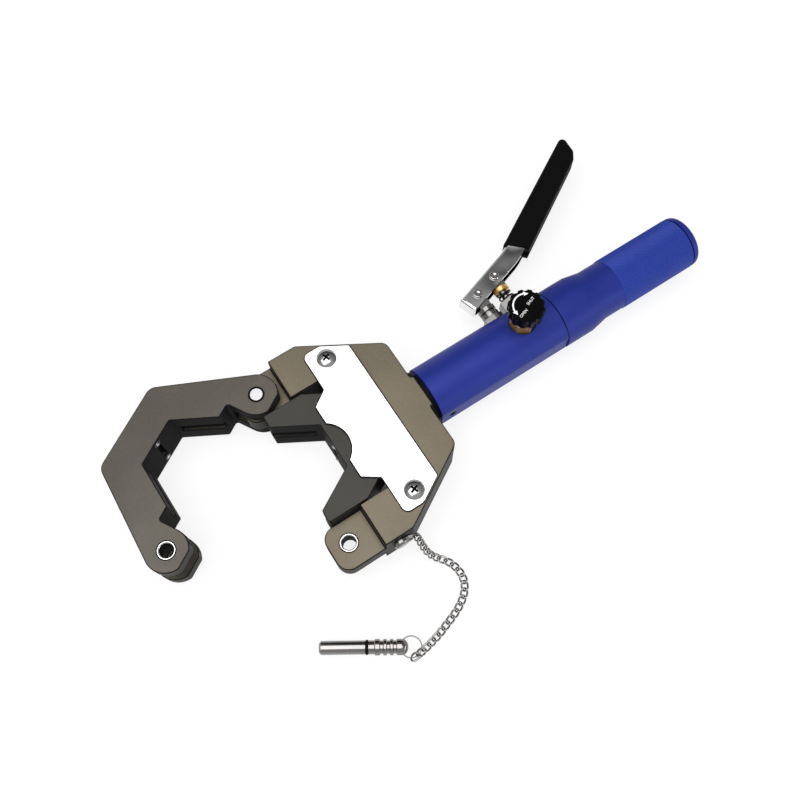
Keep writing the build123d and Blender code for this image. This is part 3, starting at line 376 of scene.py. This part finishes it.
def satin_skin(name, dark, light, metallic, roughness, rough_span=0.08, reach=2 * MM, shade=0.5, shine=0.5):
    """Finish between two tones, with painted shade within reach of a corner."""
    material, tree, shader = principled(name, light, metallic, roughness)
    shader.inputs["Specular IOR Level"].default_value = shine
    effect = use_group(tree, grain, Scale=SKIN_GRAIN)
    edge_shade = use_group(tree, edges, Reach=reach)
    both = calc(tree, "ADD", effect.outputs["Cloud"], effect.outputs["Speckle"])
    tone = ramp(tree, calc(tree, "MULTIPLY", both, 0.5), TONE_LOW, TONE_HIGH, dark, light)
    tree.links.new(darkened(tree, tone, edge_shade.outputs["Near"], shade), shader.inputs["Base Color"])
    rough = spread(tree, effect.outputs["Speckle"], roughness - rough_span, roughness + rough_span)
    tree.links.new(rough, shader.inputs["Roughness"])
    bump(tree, shader, effect.outputs["Speckle"], SPECKLE_DEPTH, SPECKLE_STRENGTH)
    return material


# %% Finishes of the head, jaw and ram
# The head and the jaw reach 3 mm, so their painted shade spreads wide along corners.
head_bronze = satin_skin(
    "head_bronze", (0.084, 0.070, 0.048), (0.126, 0.105, 0.072), metallic=0.6, roughness=0.42, reach=3 * MM)
jaw_bronze = satin_skin(
    "jaw_bronze", (0.046, 0.041, 0.033), (0.074, 0.066, 0.053), metallic=0.6, roughness=0.42, reach=3 * MM)
ram_grey = satin_skin(
    "ram_grey", (0.021, 0.019, 0.016), (0.029, 0.027, 0.023), metallic=0.5, roughness=0.48)
# Black of the die seats and the set screw, and also painted shade on bevels, in recesses and at the neck.
black_and_painted_shade = satin_skin(
    "black_and_painted_shade", grey(0.006), grey(0.010), metallic=0.0, roughness=0.55, reach=1 * MM, shine=0.02)
# Darker brown for the upright sides, as painted shade.
painted_side_shade = satin_skin(
    "painted_side_shade", (0.022, 0.020, 0.018), (0.030, 0.028, 0.025), metallic=0.0, roughness=0.5, shine=0.08)

# %% Blue finish of the pump body and the handle
blue = satin_skin(
    "blue_satin", (0.007, 0.018, 0.19), (0.009, 0.023, 0.225), metallic=0.25, roughness=0.5,
    rough_span=0.05, reach=1.2 * MM, shine=0.3)
blue_knurled = satin_skin(
    "blue_knurled", (0.012, 0.034, 0.27), (0.016, 0.043, 0.32), metallic=0.25, roughness=0.5,
    reach=0.3 * MM, shine=0.3)

# %% [markdown]
# ## Bright metals
#
# Chrome, steel and brass differ mostly in colour and roughness. Their corners mirror the dark side of the
# room, and painted shade darkens them further. Perfectly even metal looks artificial, so slow clouds change
# the tone and the polish a little. Turning rings break up the light on the plates and on the hinge pin, and
# slow waves bend what the pressed chrome channel mirrors.

# %% Bright metal finish
METAL_GRAIN, DIMMED, CLOUD_LOW, CLOUD_HIGH = 900.0, 0.88, 0.3, 0.7
POLISHED, DULLED = 0.7, 1.4
RING_LINES, RING_DEPTH, WAVES_A_METRE = 5000.0, 0.004 * MM, 35.0


def bright_metal(name, color, roughness, metallic=1.0, rings=0.0, waves=0.0, reach=0.6 * MM, shade=0.25):
    """Metal with slow clouds and painted corner shade, and with turning rings or waves where a finish has
    them.
    """
    material, tree, shader = principled(name, color, metallic, roughness)
    clouds = use_group(tree, grain, Scale=METAL_GRAIN)
    edge_shade = use_group(tree, edges, Reach=reach)
    dim = tuple(DIMMED * c for c in color)
    tone = ramp(tree, clouds.outputs["Cloud"], CLOUD_LOW, CLOUD_HIGH, dim, color)
    tree.links.new(darkened(tree, tone, edge_shade.outputs["Near"], shade), shader.inputs["Base Color"])
    rough = spread(tree, clouds.outputs["Cloud"], roughness * POLISHED, roughness * DULLED)
    tree.links.new(rough, shader.inputs["Roughness"])
    if rings:
        effect = use_group(tree, turning, Lines=RING_LINES)
        bump(tree, shader, effect.outputs["Rings"], RING_DEPTH, rings)
    if waves:
        place = tree.nodes.new("ShaderNodeTexCoord").outputs["Object"]
        bump(tree, shader, noise(tree, place, WAVES_A_METRE, detail=0.0), waves)
    return material


# %% Steel, chrome and brass
# Every finish here has painted shade along its corners; nut_steel has the widest and darkest.
plate_white = bright_metal("plate_white", (0.86, 0.86, 0.85), roughness=0.4, rings=0.5)
pin_face = bright_metal("pin_face", (0.44, 0.44, 0.435), roughness=0.36, rings=1.0)
steel = bright_metal("steel", (0.42, 0.41, 0.40), roughness=0.12)
nut_steel = bright_metal("nut_steel", (0.20, 0.195, 0.19), roughness=0.2, reach=1.2 * MM, shade=0.1)
chrome = bright_metal("chrome", (0.86, 0.86, 0.87), roughness=0.06, waves=0.9 * MM)
dark_steel = bright_metal("dark_steel", (0.035, 0.035, 0.037), roughness=0.3)
brass = bright_metal("brass", (0.78, 0.44, 0.14), roughness=0.24, metallic=0.7)
bush_steel = bright_metal("bush_steel", (0.80, 0.80, 0.79), roughness=0.25, reach=0.4 * MM)
screw_steel = bright_metal("screw_steel", grey(0.42), roughness=0.12, reach=0.4 * MM)
ring_steel = bright_metal("ring_steel", grey(0.20), roughness=0.2)
chain_steel = bright_metal("chain_steel", (0.32, 0.31, 0.305), roughness=0.14)
pin_steel = bright_metal("pin_steel", (0.25, 0.24, 0.235), roughness=0.13)

# %% [markdown]
# ## Vinyl, plastic, print and rubber
#
# The lever's grip is dipped in soft vinyl, the knob is hard moulded plastic with white print, and the seals
# are rubber. On white, a black plastic with the usual shine mirrors so much floor that it looks grey, so the
# blacks have very little of it, and what tells them apart is how evenly they catch the light.

# %% Dipped grip
grip_vinyl, tree, shader = principled("grip_vinyl", grey(0.004), metallic=0.0, roughness=0.4)
shader.inputs["Specular IOR Level"].default_value = 0.02
effect = use_group(tree, grain, Scale=1500.0)
tree.links.new(spread(tree, effect.outputs["Cloud"], low=0.32, high=0.5), shader.inputs["Roughness"])
tone = ramp(tree, effect.outputs["Speckle"], low=0.3, high=0.8, dark=grey(0.003), light=grey(0.006))
tree.links.new(tone, shader.inputs["Base Color"])
bump(tree, shader, effect.outputs["Speckle"], distance=0.05 * MM, strength=0.3)

# %% Knob and its print
knob_black, tree, shader = principled("knob_black", grey(0.004), metallic=0.0, roughness=0.22)
shader.inputs["Specular IOR Level"].default_value = 0.03
effect = use_group(tree, grain, Scale=700.0)
tree.links.new(spread(tree, effect.outputs["Cloud"], low=0.15, high=0.3), shader.inputs["Roughness"])
tone = ramp(tree, effect.outputs["Speckle"], low=0.3, high=0.8, dark=grey(0.002), light=grey(0.004))
tree.links.new(tone, shader.inputs["Base Color"])

print_white, tree, shader = principled("print_white", grey(0.82), metallic=0.0, roughness=0.5)
effect = use_group(tree, grain, Scale=1800.0)
tone = ramp(tree, effect.outputs["Speckle"], low=0.25, high=0.6, dark=grey(0.62), light=grey(0.86))
tree.links.new(tone, shader.inputs["Base Color"])

# %% Rubber seals
seal_rubber, tree, shader = principled("seal_rubber", grey(0.004), metallic=0.0, roughness=0.55)
shader.inputs["Specular IOR Level"].default_value = 0.05
effect = use_group(tree, grain, Scale=3000.0)
tree.links.new(spread(tree, effect.outputs["Speckle"], low=0.45, high=0.65), shader.inputs["Roughness"])

# %% [markdown]
# ## Dressing the CAD pieces
#
# A CAD solid has razor edges, and real parts don't: a small bevel catches the light along every edge. Each
# node's triangles are copied, merged into one skin and cleaned of the lines that cross flat faces. A Bevel
# modifier then rounds only true corners, because the facets of a cylinder meet at a much flatter angle.
# Bevelling chosen edges one by one would need a list of them for every piece. The copy stands for the node,
# so the collision model keeps the plain solid.


def body_of(node):
    return frame["nodes"][node]["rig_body"]


def new_piece(name, bm, body, finish, nodes=()):
    """Object from a bmesh, in one finish, that rides on a body and stands for some CAD nodes."""
    mesh = bpy.data.meshes.new(name)
    bm.to_mesh(mesh)
    bm.free()
    mesh.materials.append(finish)
    piece = bpy.data.objects.new(name, mesh)
    scene.collection.objects.link(piece)
    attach(piece, body)
    if nodes:
        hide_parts(*nodes)
    return piece


# %% Cuts, bevels and dressed copies
MERGE_DISTANCE = 0.002 * MM
FLAT_ANGLE, SHARP_ANGLE, CORNER_ANGLE = radians(0.6), radians(32), radians(38)


def cut_out(piece, cutter):
    """Cut a closed bmesh out of a piece with a Boolean, blacken the cut as painted shade, and keep the
    result as mesh.
    """
    mesh = bpy.data.meshes.new("cutter")
    cutter.to_mesh(mesh)
    cutter.free()
    mesh.materials.append(black_and_painted_shade)
    tool = bpy.data.objects.new("cutter", mesh)
    scene.collection.objects.link(tool)
    recess = piece.modifiers.new("recess", "BOOLEAN")
    recess.object = tool
    recess.material_mode = "TRANSFER"
    view = bpy.context.evaluated_depsgraph_get()
    piece.data = bpy.data.meshes.new_from_object(piece.evaluated_get(view))
    piece.modifiers.clear()
    bpy.data.objects.remove(tool)


def soften(piece, width, segments, rim):
    """Bevel the true corners. A rim with a finish of its own, here painted shade, keeps its width beside
    short edges too.
    """
    edge = piece.modifiers.new("soft_edges", "BEVEL")
    edge.width = width * MM
    edge.segments = segments
    edge.material = rim
    edge.use_clamp_overlap = rim < 0
    edge.limit_method = "ANGLE"
    edge.angle_limit = CORNER_ANGLE
    edge.miter_outer = "MITER_ARC"
    even = piece.modifiers.new("even_shading", "WEIGHTED_NORMAL")
    even.keep_sharp = True


def dress(node, finish, bevel, segments=2, extra=(), pick=None, rim=-1, cutters=()):
    """Copy of a CAD node with bevels in mm, and with further finishes on the faces that pick chooses."""
    bm = bmesh.new()
    bm.from_mesh(frame["nodes"][node].data)
    bmesh.ops.remove_doubles(bm, verts=bm.verts, dist=MERGE_DISTANCE)
    bmesh.ops.dissolve_limit(
        bm, angle_limit=FLAT_ANGLE, verts=bm.verts, edges=bm.edges, use_dissolve_boundaries=False)
    for face in bm.faces:
        face.smooth = True
        face.material_index = pick(face) if pick else 0
    piece = new_piece(node + "_dressed", bm, body_of(node), finish, [node])
    for material in extra:
        piece.data.materials.append(material)
    for cutter in cutters:
        cut_out(piece, cutter)
    piece.data.set_sharp_from_angle(angle=SHARP_ANGLE)
    if bevel:
        soften(piece, bevel, segments, rim)
    return piece


# %% [markdown]
# ## Head, jaw and ram
#
# On the real tool the flat faces have the warm bronze and the die seats are black. The milled sides get a
# darker brown as painted shade, the bevels get the black as a painted dark line along every edge, and the
# round neck behind the head gets it as painted shadow in its gap. Cutting each piece up by colour would
# leave seams, so a piece stays one mesh, a short function picks a finish for each face, and the bevels get
# the black one. A face is a side if it is upright, so its normal lies flat. A side of the jaw belongs to the
# seat if it is close to the middle of the open jaw's half hexagon, or a little farther off and turned
# towards it. In the ram, the seat is what faces the jaw.

# %% Which faces are sides and seats
FLAT, SIDE, BLACK_AND_SHADE = 0, 1, 2
UPRIGHT, JAWWARD = 0.3, -0.2
NECK_START, NECK_R = 90.5 * MM, 23 * MM
SEAT_MIDDLE = Vector((-57.5, 40.2, 0)) * MM
SEAT_CLOSE, SEAT_FAR, IN_FRONT = 44 * MM, 54 * MM, 4 * MM


def is_side(face):
    return abs(face.normal.z) < UPRIGHT


def head_finish(face):
    middle = face.calc_center_median()
    # The round neck in the gap before the blue body is painted black, as shadow.
    if middle.x > NECK_START and middle.yz.length < NECK_R:
        return BLACK_AND_SHADE
    return SIDE if is_side(face) else FLAT


def jaw_finish(face):
    if not is_side(face):
        return FLAT
    toward = SEAT_MIDDLE - face.calc_center_median()
    toward.z = 0
    turned = face.normal.dot(toward) > IN_FRONT
    return BLACK_AND_SHADE if toward.length < (SEAT_FAR if turned else SEAT_CLOSE) else SIDE


def ram_finish(face):
    if not is_side(face):
        return FLAT
    return BLACK_AND_SHADE if face.normal.x < JAWWARD else SIDE


# %% Head, jaw, ram and plates
dress("head_yoke", head_bronze, bevel=0.6, extra=(painted_side_shade, black_and_painted_shade), pick=head_finish, rim=BLACK_AND_SHADE)
dress("jaw", jaw_bronze, bevel=0.6, extra=(painted_side_shade, black_and_painted_shade), pick=jaw_finish, rim=BLACK_AND_SHADE)
dress("ram", ram_grey, bevel=0.4, extra=(painted_side_shade, black_and_painted_shade), pick=ram_finish, rim=BLACK_AND_SHADE)
# The bevels of the plates and the hinge pin are black, as a painted shade line round them.
painted_shade_rim = {"extra": (black_and_painted_shade,), "rim": 1}
for plate in ("front_cover_plate", "back_cover_plate"):
    dress(plate, plate_white, bevel=0.7, **painted_shade_rim)
dress("hinge_pin", pin_face, bevel=0.8, **painted_shade_rim)
# The bushes' bevels and upright walls, the bores too, are black as painted shade.
for bush in ("tip_bushes", "lock_bush"):
    dress(bush, bush_steel, bevel=0.2, pick=is_side, **painted_shade_rim)
for ball in ("jaw_detent_balls", "ram_detent_balls"):
    dress(ball, screw_steel, bevel=0)
for sleeve in ("jaw_detent_sleeves", "ram_detent_sleeves"):
    dress(sleeve, dark_steel, bevel=0.15)
print("head dressed")

# %% [markdown]
# ## Pump body, lever and valve
#
# The turned and pressed pieces of the pump have one finish each, so they only need their bevels: narrow ones
# on metal, and a wider, rounder one on the soft dipped grip.

# %% Pump body, handle, lever and valve
dress("pump_body", blue, bevel=0.3)
handle = dress("handle_tube", blue, bevel=0.25)
dress("end_cap", blue, bevel=0.2)
dress("lever_channel", chrome, bevel=0.25)
dress("lever_grip", grip_vinyl, bevel=0.5, segments=3)
for rivet in ("pivot_rivet", "plunger_rivet"):
    dress(rivet, steel, bevel=0.2)
for fitting in ("pivot_post", "gland_nut", "chain_screw", "chain_eyelet", "plunger"):
    dress(fitting, nut_steel, bevel=0.2)
for fitting in ("plunger_collar", "release_body"):
    dress(fitting, brass, bevel=0.25)
knob = dress("release_knob", knob_black, bevel=0.3)
print("body dressed")

# %% [markdown]
# ## Knurled band
#
# A knurling wheel presses two sets of crossing grooves into the end of the handle, which leaves rows of
# small diamonds. A bump map would do from afar, but real diamonds also catch light at the outline. A flat
# grid with four steps to a diamond is rolled into a tube, and each vertex is lifted by its distance from the
# nearest groove. The two ends are bridged on the inside, and the handle under the band is turned down a
# little to make room.

# %% Knurled band
KNURL_START, KNURL_LENGTH, TURNED_START = 254.5 * MM, 61.5 * MM, 254.4 * MM
GROOVE_R, DIAMOND_HEIGHT, BAND_FOOT_R, TURNED_R = 19.2 * MM, 0.3 * MM, 18.8 * MM, 18.7 * MM
DIAMONDS_ALONG, DIAMONDS_AROUND, STEPS, SEAM_WIDTH = 28, 72, 4, 0.001 * MM
for v in handle.data.vertices:
    radius = v.co.yz.length
    if v.co.x > TURNED_START and radius > GROOVE_R:
        v.co.yz *= TURNED_R / radius
bm = bmesh.new()
bmesh.ops.create_grid(bm, x_segments=STEPS * DIAMONDS_ALONG, y_segments=STEPS * DIAMONDS_AROUND, size=0.5)
half_step = 0.5 / (STEPS * DIAMONDS_ALONG)
for v in bm.verts:
    along, around = v.co.x + 0.5, v.co.y + 0.5
    a, b = along * DIAMONDS_ALONG, around * DIAMONDS_AROUND
    lift = min(abs(sin(pi * (a + b))), abs(sin(pi * (a - b))))
    at_end = min(along, 1 - along) < half_step
    radius = BAND_FOOT_R if at_end else GROOVE_R + DIAMOND_HEIGHT * lift
    angle = 2 * pi * around
    v.co = (KNURL_START + KNURL_LENGTH * along, radius * cos(angle), radius * sin(angle))
bmesh.ops.remove_doubles(bm, verts=bm.verts, dist=SEAM_WIDTH)
bmesh.ops.bridge_loops(bm, edges=[edge for edge in bm.edges if edge.is_boundary])
bmesh.ops.recalc_face_normals(bm, faces=bm.faces)
new_piece("handle_knurl", bm, body_of("handle_tube"), blue_knurled)
print("diamonds", DIAMONDS_ALONG * DIAMONDS_AROUND)

# %% [markdown]
# ## Springs
#
# Two springs get shorter when the tool works: the black one on the plunger and the one that pushes the
# piston back. Here each only gets a dressed copy with a mesh of its own.

# %% Springs
spring = dress("pump_spring", dark_steel, bevel=0)
low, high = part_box("pump_spring")
foot = Vector(((low.x + high.x) / 2, low.y, 0))
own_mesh(spring)
spring = dress("return_spring", dark_steel, bevel=0)
low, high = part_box("return_spring")
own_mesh(spring)
print("springs ready")

# %% [markdown]
# ## Screws
#
# The plates are held by low domed screws with a cross recess. The recess is two crossed bars, narrower at
# their foot, cut out of the CAD head with a Boolean, which is the plainest way to make a hole that stops
# inside, and its walls are black as painted shade. The set screw in the blue body gets a hexagon socket in
# the same way.

# %% Cover screws
SCREW_X, SCREW_Y, CROSS_TURNS = 52.6 * MM, 54.2 * MM, (20, 110)
BAR_LENGTH, BAR_WIDTH, BAR_DEPTH = 9.2 * MM, 1.8 * MM, 4.4 * MM
FOOT_LENGTH_SHARE, FOOT_WIDTH_SHARE = 0.45, 0.7
low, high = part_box("cover_screws")
bars = []
for turn in CROSS_TURNS:
    cutter = bmesh.new()
    for y in (SCREW_Y, -SCREW_Y):
        for top, flip in ((high.z, 0), (low.z, pi)):
            bar = bmesh.ops.create_cube(cutter, size=1.0)["verts"]
            for v in bar:
                if v.co.z < 0:
                    v.co.x *= FOOT_LENGTH_SHARE
                    v.co.y *= FOOT_WIDTH_SHARE
            bmesh.ops.scale(cutter, verts=bar, vec=(BAR_LENGTH, BAR_WIDTH, BAR_DEPTH))
            place = Matrix.Translation((SCREW_X, y, top)) @ Matrix.Rotation(flip, 4, "X")
            bmesh.ops.transform(cutter, verts=bar, matrix=place @ Matrix.Rotation(radians(turn), 4, "Z"))
    bars.append(cutter)
dress("cover_screws", screw_steel, bevel=0.12, cutters=bars)
print("cross recesses cut")

# %% Set screw
SOCKET_R, SOCKET_DEPTH = 1.44 * MM, 3 * MM
low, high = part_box("body_set_screw")
middle = (low + high) / 2
socket = bmesh.new()
bmesh.ops.create_cone(
    socket, cap_ends=True, segments=6, radius1=SOCKET_R, radius2=SOCKET_R, depth=SOCKET_DEPTH)
place = Matrix.Translation((middle.x, low.y, middle.z)) @ Matrix.Rotation(pi / 2, 4, "X")
bmesh.ops.transform(socket, verts=socket.verts, matrix=place)
dress("body_set_screw", black_and_painted_shade, bevel=0.12, cutters=[socket])
print("socket cut")

# %% [markdown]
# ## Chain
#
# The chain's route is one smooth NURBS line along the points where it hangs and lies, from the eyelet down
# to the floor and back up to the split ring. Links are spaced evenly along that line. A link is bent from
# wire: a circle is spun half a turn, run straight, spun again and run back. Links that stand crosswise in
# turn would be simpler, but this is a curb chain: twisting the ends of a link by an eighth of a turn lets
# each lie flat in its neighbours.

# %% Chain route
chain_points = [
    (39.3, -76.6, 2.4), (39.9, -80.2, -2.8), (40.2, -83.6, -7.2), (41.0, -87.6, -12.2),
    (43.0, -91.2, -16.8), (46.6, -94.8, -20.1), (50.4, -98.8, -21.0), (52.4, -104.0, -21.0),
    (53.5, -110.0, -21.0), (52.3, -116.0, -21.0), (49.2, -121.0, -21.0), (44.6, -125.0, -21.0),
    (39.4, -128.0, -21.0), (33.8, -130.4, -21.0), (27.6, -132.4, -21.0), (21.6, -134.4, -20.8),
    (16.9, -136.0, -20.0), (11.5, -137.1, -17.4), (6.0, -138.4, -15.3), (0.7, -138.9, -15.5),
    (-4.0, -138.7, -18.1),
]
curve = bpy.data.curves.new("chain_route", "CURVE")
curve.dimensions = "3D"
line = curve.splines.new("NURBS")
line.points.add(len(chain_points) - 1)
for control, place in zip(line.points, chain_points):
    control.co = (*(Vector(place) * MM), 1)
line.order_u = 3
line.use_endpoint_u = True
line.resolution_u = 12
guide = bpy.data.objects.new("chain_route", curve)
path = [v.co.copy() for v in bpy.data.meshes.new_from_object(guide).vertices]
bpy.data.objects.remove(guide)
reach = [0.0]
for start, end in zip(path, path[1:]):
    reach.append(reach[-1] + (end - start).length)
print("route", len(path), "points,", round(reach[-1] / MM, 1), "mm")


def on_route(distance):
    """Point at a distance along the route."""
    i = max(1, min(bisect_left(reach, distance), len(path) - 1))
    share = (distance - reach[i - 1]) / (reach[i] - reach[i - 1])
    return path[i - 1].lerp(path[i], share)


# %% One link
WIRE, LINK_LENGTH, LINK_WIDTH, LINK_SLACK = 1.4 * MM, 8.15 * MM, 5.6 * MM, 0.25 * MM
WIRE_SIDES, BEND_STEPS, RUN_STEPS, LINK_TWIST = 10, 9, 3, radians(45)
bend_r = (LINK_WIDTH - WIRE) / 2
half_run = (LINK_LENGTH - LINK_WIDTH) / 2


def wire_circle(bm, radius, place, axis):
    """Circle of wire to spin, turned a quarter about an axis so that the spin pulls it lengthwise."""
    matrix = Matrix.Translation(place) @ Matrix.Rotation(pi / 2, 4, axis)
    verts = bmesh.ops.create_circle(bm, segments=WIRE_SIDES, radius=radius, matrix=matrix)["verts"]
    return verts + list({edge for v in verts for edge in v.link_edges})


def shade_smooth(bm):
    for face in bm.faces:
        face.smooth = True


def sort_faces(bm):
    """Put faces in the order of their vertices. A spin leaves them in an order that varies by run."""
    bm.verts.index_update()
    total = len(bm.verts)

    def rank(face):
        low, middle, high = sorted(v.index for v in face.verts)[:3]
        return (low * total + middle) * total + high

    bm.faces.sort(key=rank)


bm = bmesh.new()
loop = wire_circle(bm, WIRE / 2, (half_run, -bend_r, 0), "Y")
for way in (1, -1):
    bend = bmesh.ops.spin(
        bm, geom=loop, cent=(way * half_run, 0, 0), axis=(0, 0, 1), angle=pi, steps=BEND_STEPS)
    step = (-way * 2 * half_run / RUN_STEPS, 0, 0)
    run = bmesh.ops.spin(bm, geom=bend["geom_last"], dvec=step, axis=(0, 0, 1), angle=0, steps=RUN_STEPS)
    loop = run["geom_last"]
bmesh.ops.remove_doubles(bm, verts=bm.verts, dist=WIRE / 50)
bmesh.ops.recalc_face_normals(bm, faces=bm.faces)
for v in bm.verts:
    v.co = Matrix.Rotation(LINK_TWIST * v.co.x / (half_run + bend_r), 3, "X") @ v.co
shade_smooth(bm)
sort_faces(bm)
link = bpy.data.meshes.new("link")
bm.to_mesh(link)
bm.free()
print("link", len(link.polygons), "faces")

# %% The chain
count = ceil(reach[-1] / (LINK_LENGTH - 2 * WIRE - LINK_SLACK))
ends = [on_route(reach[-1] * i / count) for i in range(count + 1)]
bm = bmesh.new()
for start, end in zip(ends, ends[1:]):
    run = (end - start).normalized()
    side = Vector((0, 0, 1)).cross(run).normalized()
    place = Matrix((run, side, run.cross(side))).transposed().to_4x4()
    place.translation = (start + end) / 2
    first = len(bm.verts)
    bm.from_mesh(link)
    bm.verts.ensure_lookup_table()
    bmesh.ops.transform(bm, matrix=place, verts=bm.verts[first:])
chain = new_piece("chain_links", bm, body_of("chain"), chain_steel, ["chain"])
print("links", count)

# %% [markdown]
# ## Lock pin, its ring and its seal
#
# The split ring is wire wound nearly twice. A torus would look like a plain ring, so the circle is spun
# with a small step along the axis, and the second turn lies on the first. The rubber ring sits in the pin's
# groove and is a plain spin of a circle about the pin's axis.

# %% Split ring and lock pin
RING_WIRE, RING_TURNS, RING_STEPS = 0.8 * MM, 1.9, 76
low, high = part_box("split_ring")
ring_r = (high.x - low.x - RING_WIRE) / 2
bm = bmesh.new()
loop = wire_circle(bm, RING_WIRE / 2, (ring_r, 0, -RING_WIRE / 2), "X")
bmesh.ops.spin(
    bm, geom=loop, cent=(0, 0, 0), axis=(0, 0, 1), dvec=(0, 0, RING_WIRE / RING_STEPS),
    angle=RING_TURNS * 2 * pi, steps=RING_STEPS)
bmesh.ops.holes_fill(bm, edges=bm.edges)
bmesh.ops.recalc_face_normals(bm, faces=bm.faces)
bmesh.ops.translate(bm, verts=bm.verts, vec=(low + high) / 2)
shade_smooth(bm)
ring = new_piece("split_ring_wire", bm, body_of("split_ring"), ring_steel, ["split_ring"])
pin = dress("lock_pin", pin_steel, bevel=0.15)
print("ring", round(2 * ring_r / MM, 1), "mm across at the middle of its wire")

# %% Rubber ring
PIN_DIRECTION, SEAL_WIRE, SEAL_STEPS = Vector((0.8463, -0.5327, 0)), 1.94 * MM, 36
low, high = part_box("lock_pin_oring")
seal_r = (high.z - low.z - SEAL_WIRE) / 2
bm = bmesh.new()
loop = wire_circle(bm, SEAL_WIRE / 2, (0, seal_r, 0), "Z")
bmesh.ops.spin(
    bm, geom=loop, cent=(0, 0, 0), axis=(1, 0, 0), angle=2 * pi, steps=SEAL_STEPS, use_merge=True)
bmesh.ops.recalc_face_normals(bm, faces=bm.faces)
place = Matrix.Rotation(PIN_DIRECTION.xy.angle_signed(Vector((1, 0))), 4, "Z")
bmesh.ops.transform(bm, verts=bm.verts, matrix=Matrix.Translation((low + high) / 2) @ place)
shade_smooth(bm)
oring = new_piece("lock_pin_seal", bm, body_of("lock_pin_oring"), seal_rubber, ["lock_pin_oring"])
print("chain and lock pin ready")

# %% [markdown]
# ## Print on the knob
#
# The knob's top has a white double arrow round part of its edge and two words, all in thick paint. A picture
# on the knob would blur up close, so the print is thin geometry. The arrow is a short edge spun along an
# arc, with a triangle at each end. The words are text objects, made into mesh before they are laid on the
# knob. The top of the knob is sunk by the thickness of the paint, so that it ends at the CAD height.

# %% Arrow
PAINT = 0.03 * MM
ARROW_R, ARROW_WIDTH, HEAD_WIDTH = 9.0 * MM, 1.1 * MM, 3.2 * MM
ARROW_FROM, ARROW_TO, HEAD_ANGLE, ARROW_STEPS = 48, 195, 20, 24
knob_low, knob_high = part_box("release_knob")
knob_middle = (knob_low + knob_high) / 2
knob_middle.z = knob_high.z
for v in knob.data.vertices:
    if v.co.z > knob_high.z - PAINT:
        v.co.z -= PAINT


def polar(radius, angle):
    """Point on the knob's top, with the angle in degrees."""
    return knob_middle + Vector((radius * cos(radians(angle)), radius * sin(radians(angle)), 0))


bm = bmesh.new()
shaft = [bm.verts.new(polar(ARROW_R + way * ARROW_WIDTH / 2, ARROW_FROM + HEAD_ANGLE)) for way in (1, -1)]
bmesh.ops.spin(
    bm, geom=shaft + [bm.edges.new(shaft)], cent=knob_middle, axis=(0, 0, 1), steps=ARROW_STEPS,
    angle=radians(ARROW_TO - ARROW_FROM - 2 * HEAD_ANGLE))
for base, tip in ((ARROW_FROM + HEAD_ANGLE, ARROW_FROM), (ARROW_TO - HEAD_ANGLE, ARROW_TO)):
    outer = polar(ARROW_R + HEAD_WIDTH / 2, base)
    inner = polar(ARROW_R - HEAD_WIDTH / 2, base)
    bm.faces.new([bm.verts.new(corner) for corner in (outer, inner, polar(ARROW_R, tip))])
under = bmesh.ops.extrude_face_region(bm, geom=bm.faces[:])["geom"]
foot = [g for g in under if isinstance(g, bmesh.types.BMVert)]
bmesh.ops.translate(bm, verts=foot, vec=(0, 0, -PAINT))
bmesh.ops.recalc_face_normals(bm, faces=bm.faces)
new_piece("knob_arrow", bm, "knob", print_white)
print("arrow over", ARROW_TO - ARROW_FROM, "degrees")

# %% Words
LETTER_SIZE, WORD_TURN = 2.8 * MM, radians(19)
for word, radius, angle in (("SHUT", 4.4 * MM, 20), ("OPEN", 5.9 * MM, 215)):
    letters = bpy.data.curves.new(word, "FONT")
    letters.body = word
    letters.size = LETTER_SIZE
    letters.extrude = PAINT / 2
    letters.align_x = "CENTER"
    letters.align_y = "CENTER"
    text = bpy.data.objects.new(word, letters)
    bm = bmesh.new()
    bm.from_mesh(bpy.data.meshes.new_from_object(text))
    bpy.data.objects.remove(text)
    bmesh.ops.remove_doubles(bm, verts=bm.verts, dist=PAINT / 10)
    place = Matrix.Translation(polar(radius, angle) - Vector((0, 0, PAINT / 2)))
    bmesh.ops.transform(bm, matrix=place @ Matrix.Rotation(WORD_TURN, 4, "Z"), verts=bm.verts)
    new_piece("knob_word_" + word.lower(), bm, "knob", print_white)
print("knob printed")

# %% [markdown]
# ## Pieces that stay inside
#
# Bushes, seals, valves, the piston and the bladder are hidden, and keep their CAD meshes. They still get
# real finishes, for anyone who takes the tool apart.

# %% Finishes of the hidden pieces
hidden = {
    brass: ["hinge_bush", "rod_bush"],
    chrome: ["piston_rod"],
    steel: [
        "inlet_ball", "inlet_spring", "inlet_retainer", "outlet_ball", "outlet_spring", "outlet_retainer",
        "release_needle"],
    seal_rubber: ["piston_seal", "cylinder_seal", "plunger_seal", "cap_seal", "oil_bladder"],
}
for finish, nodes in hidden.items():
    for node in nodes:
        frame["nodes"][node].data.materials.clear()
        frame["nodes"][node].data.materials.append(finish)
print("hidden pieces", sum(len(nodes) for nodes in hidden.values()))
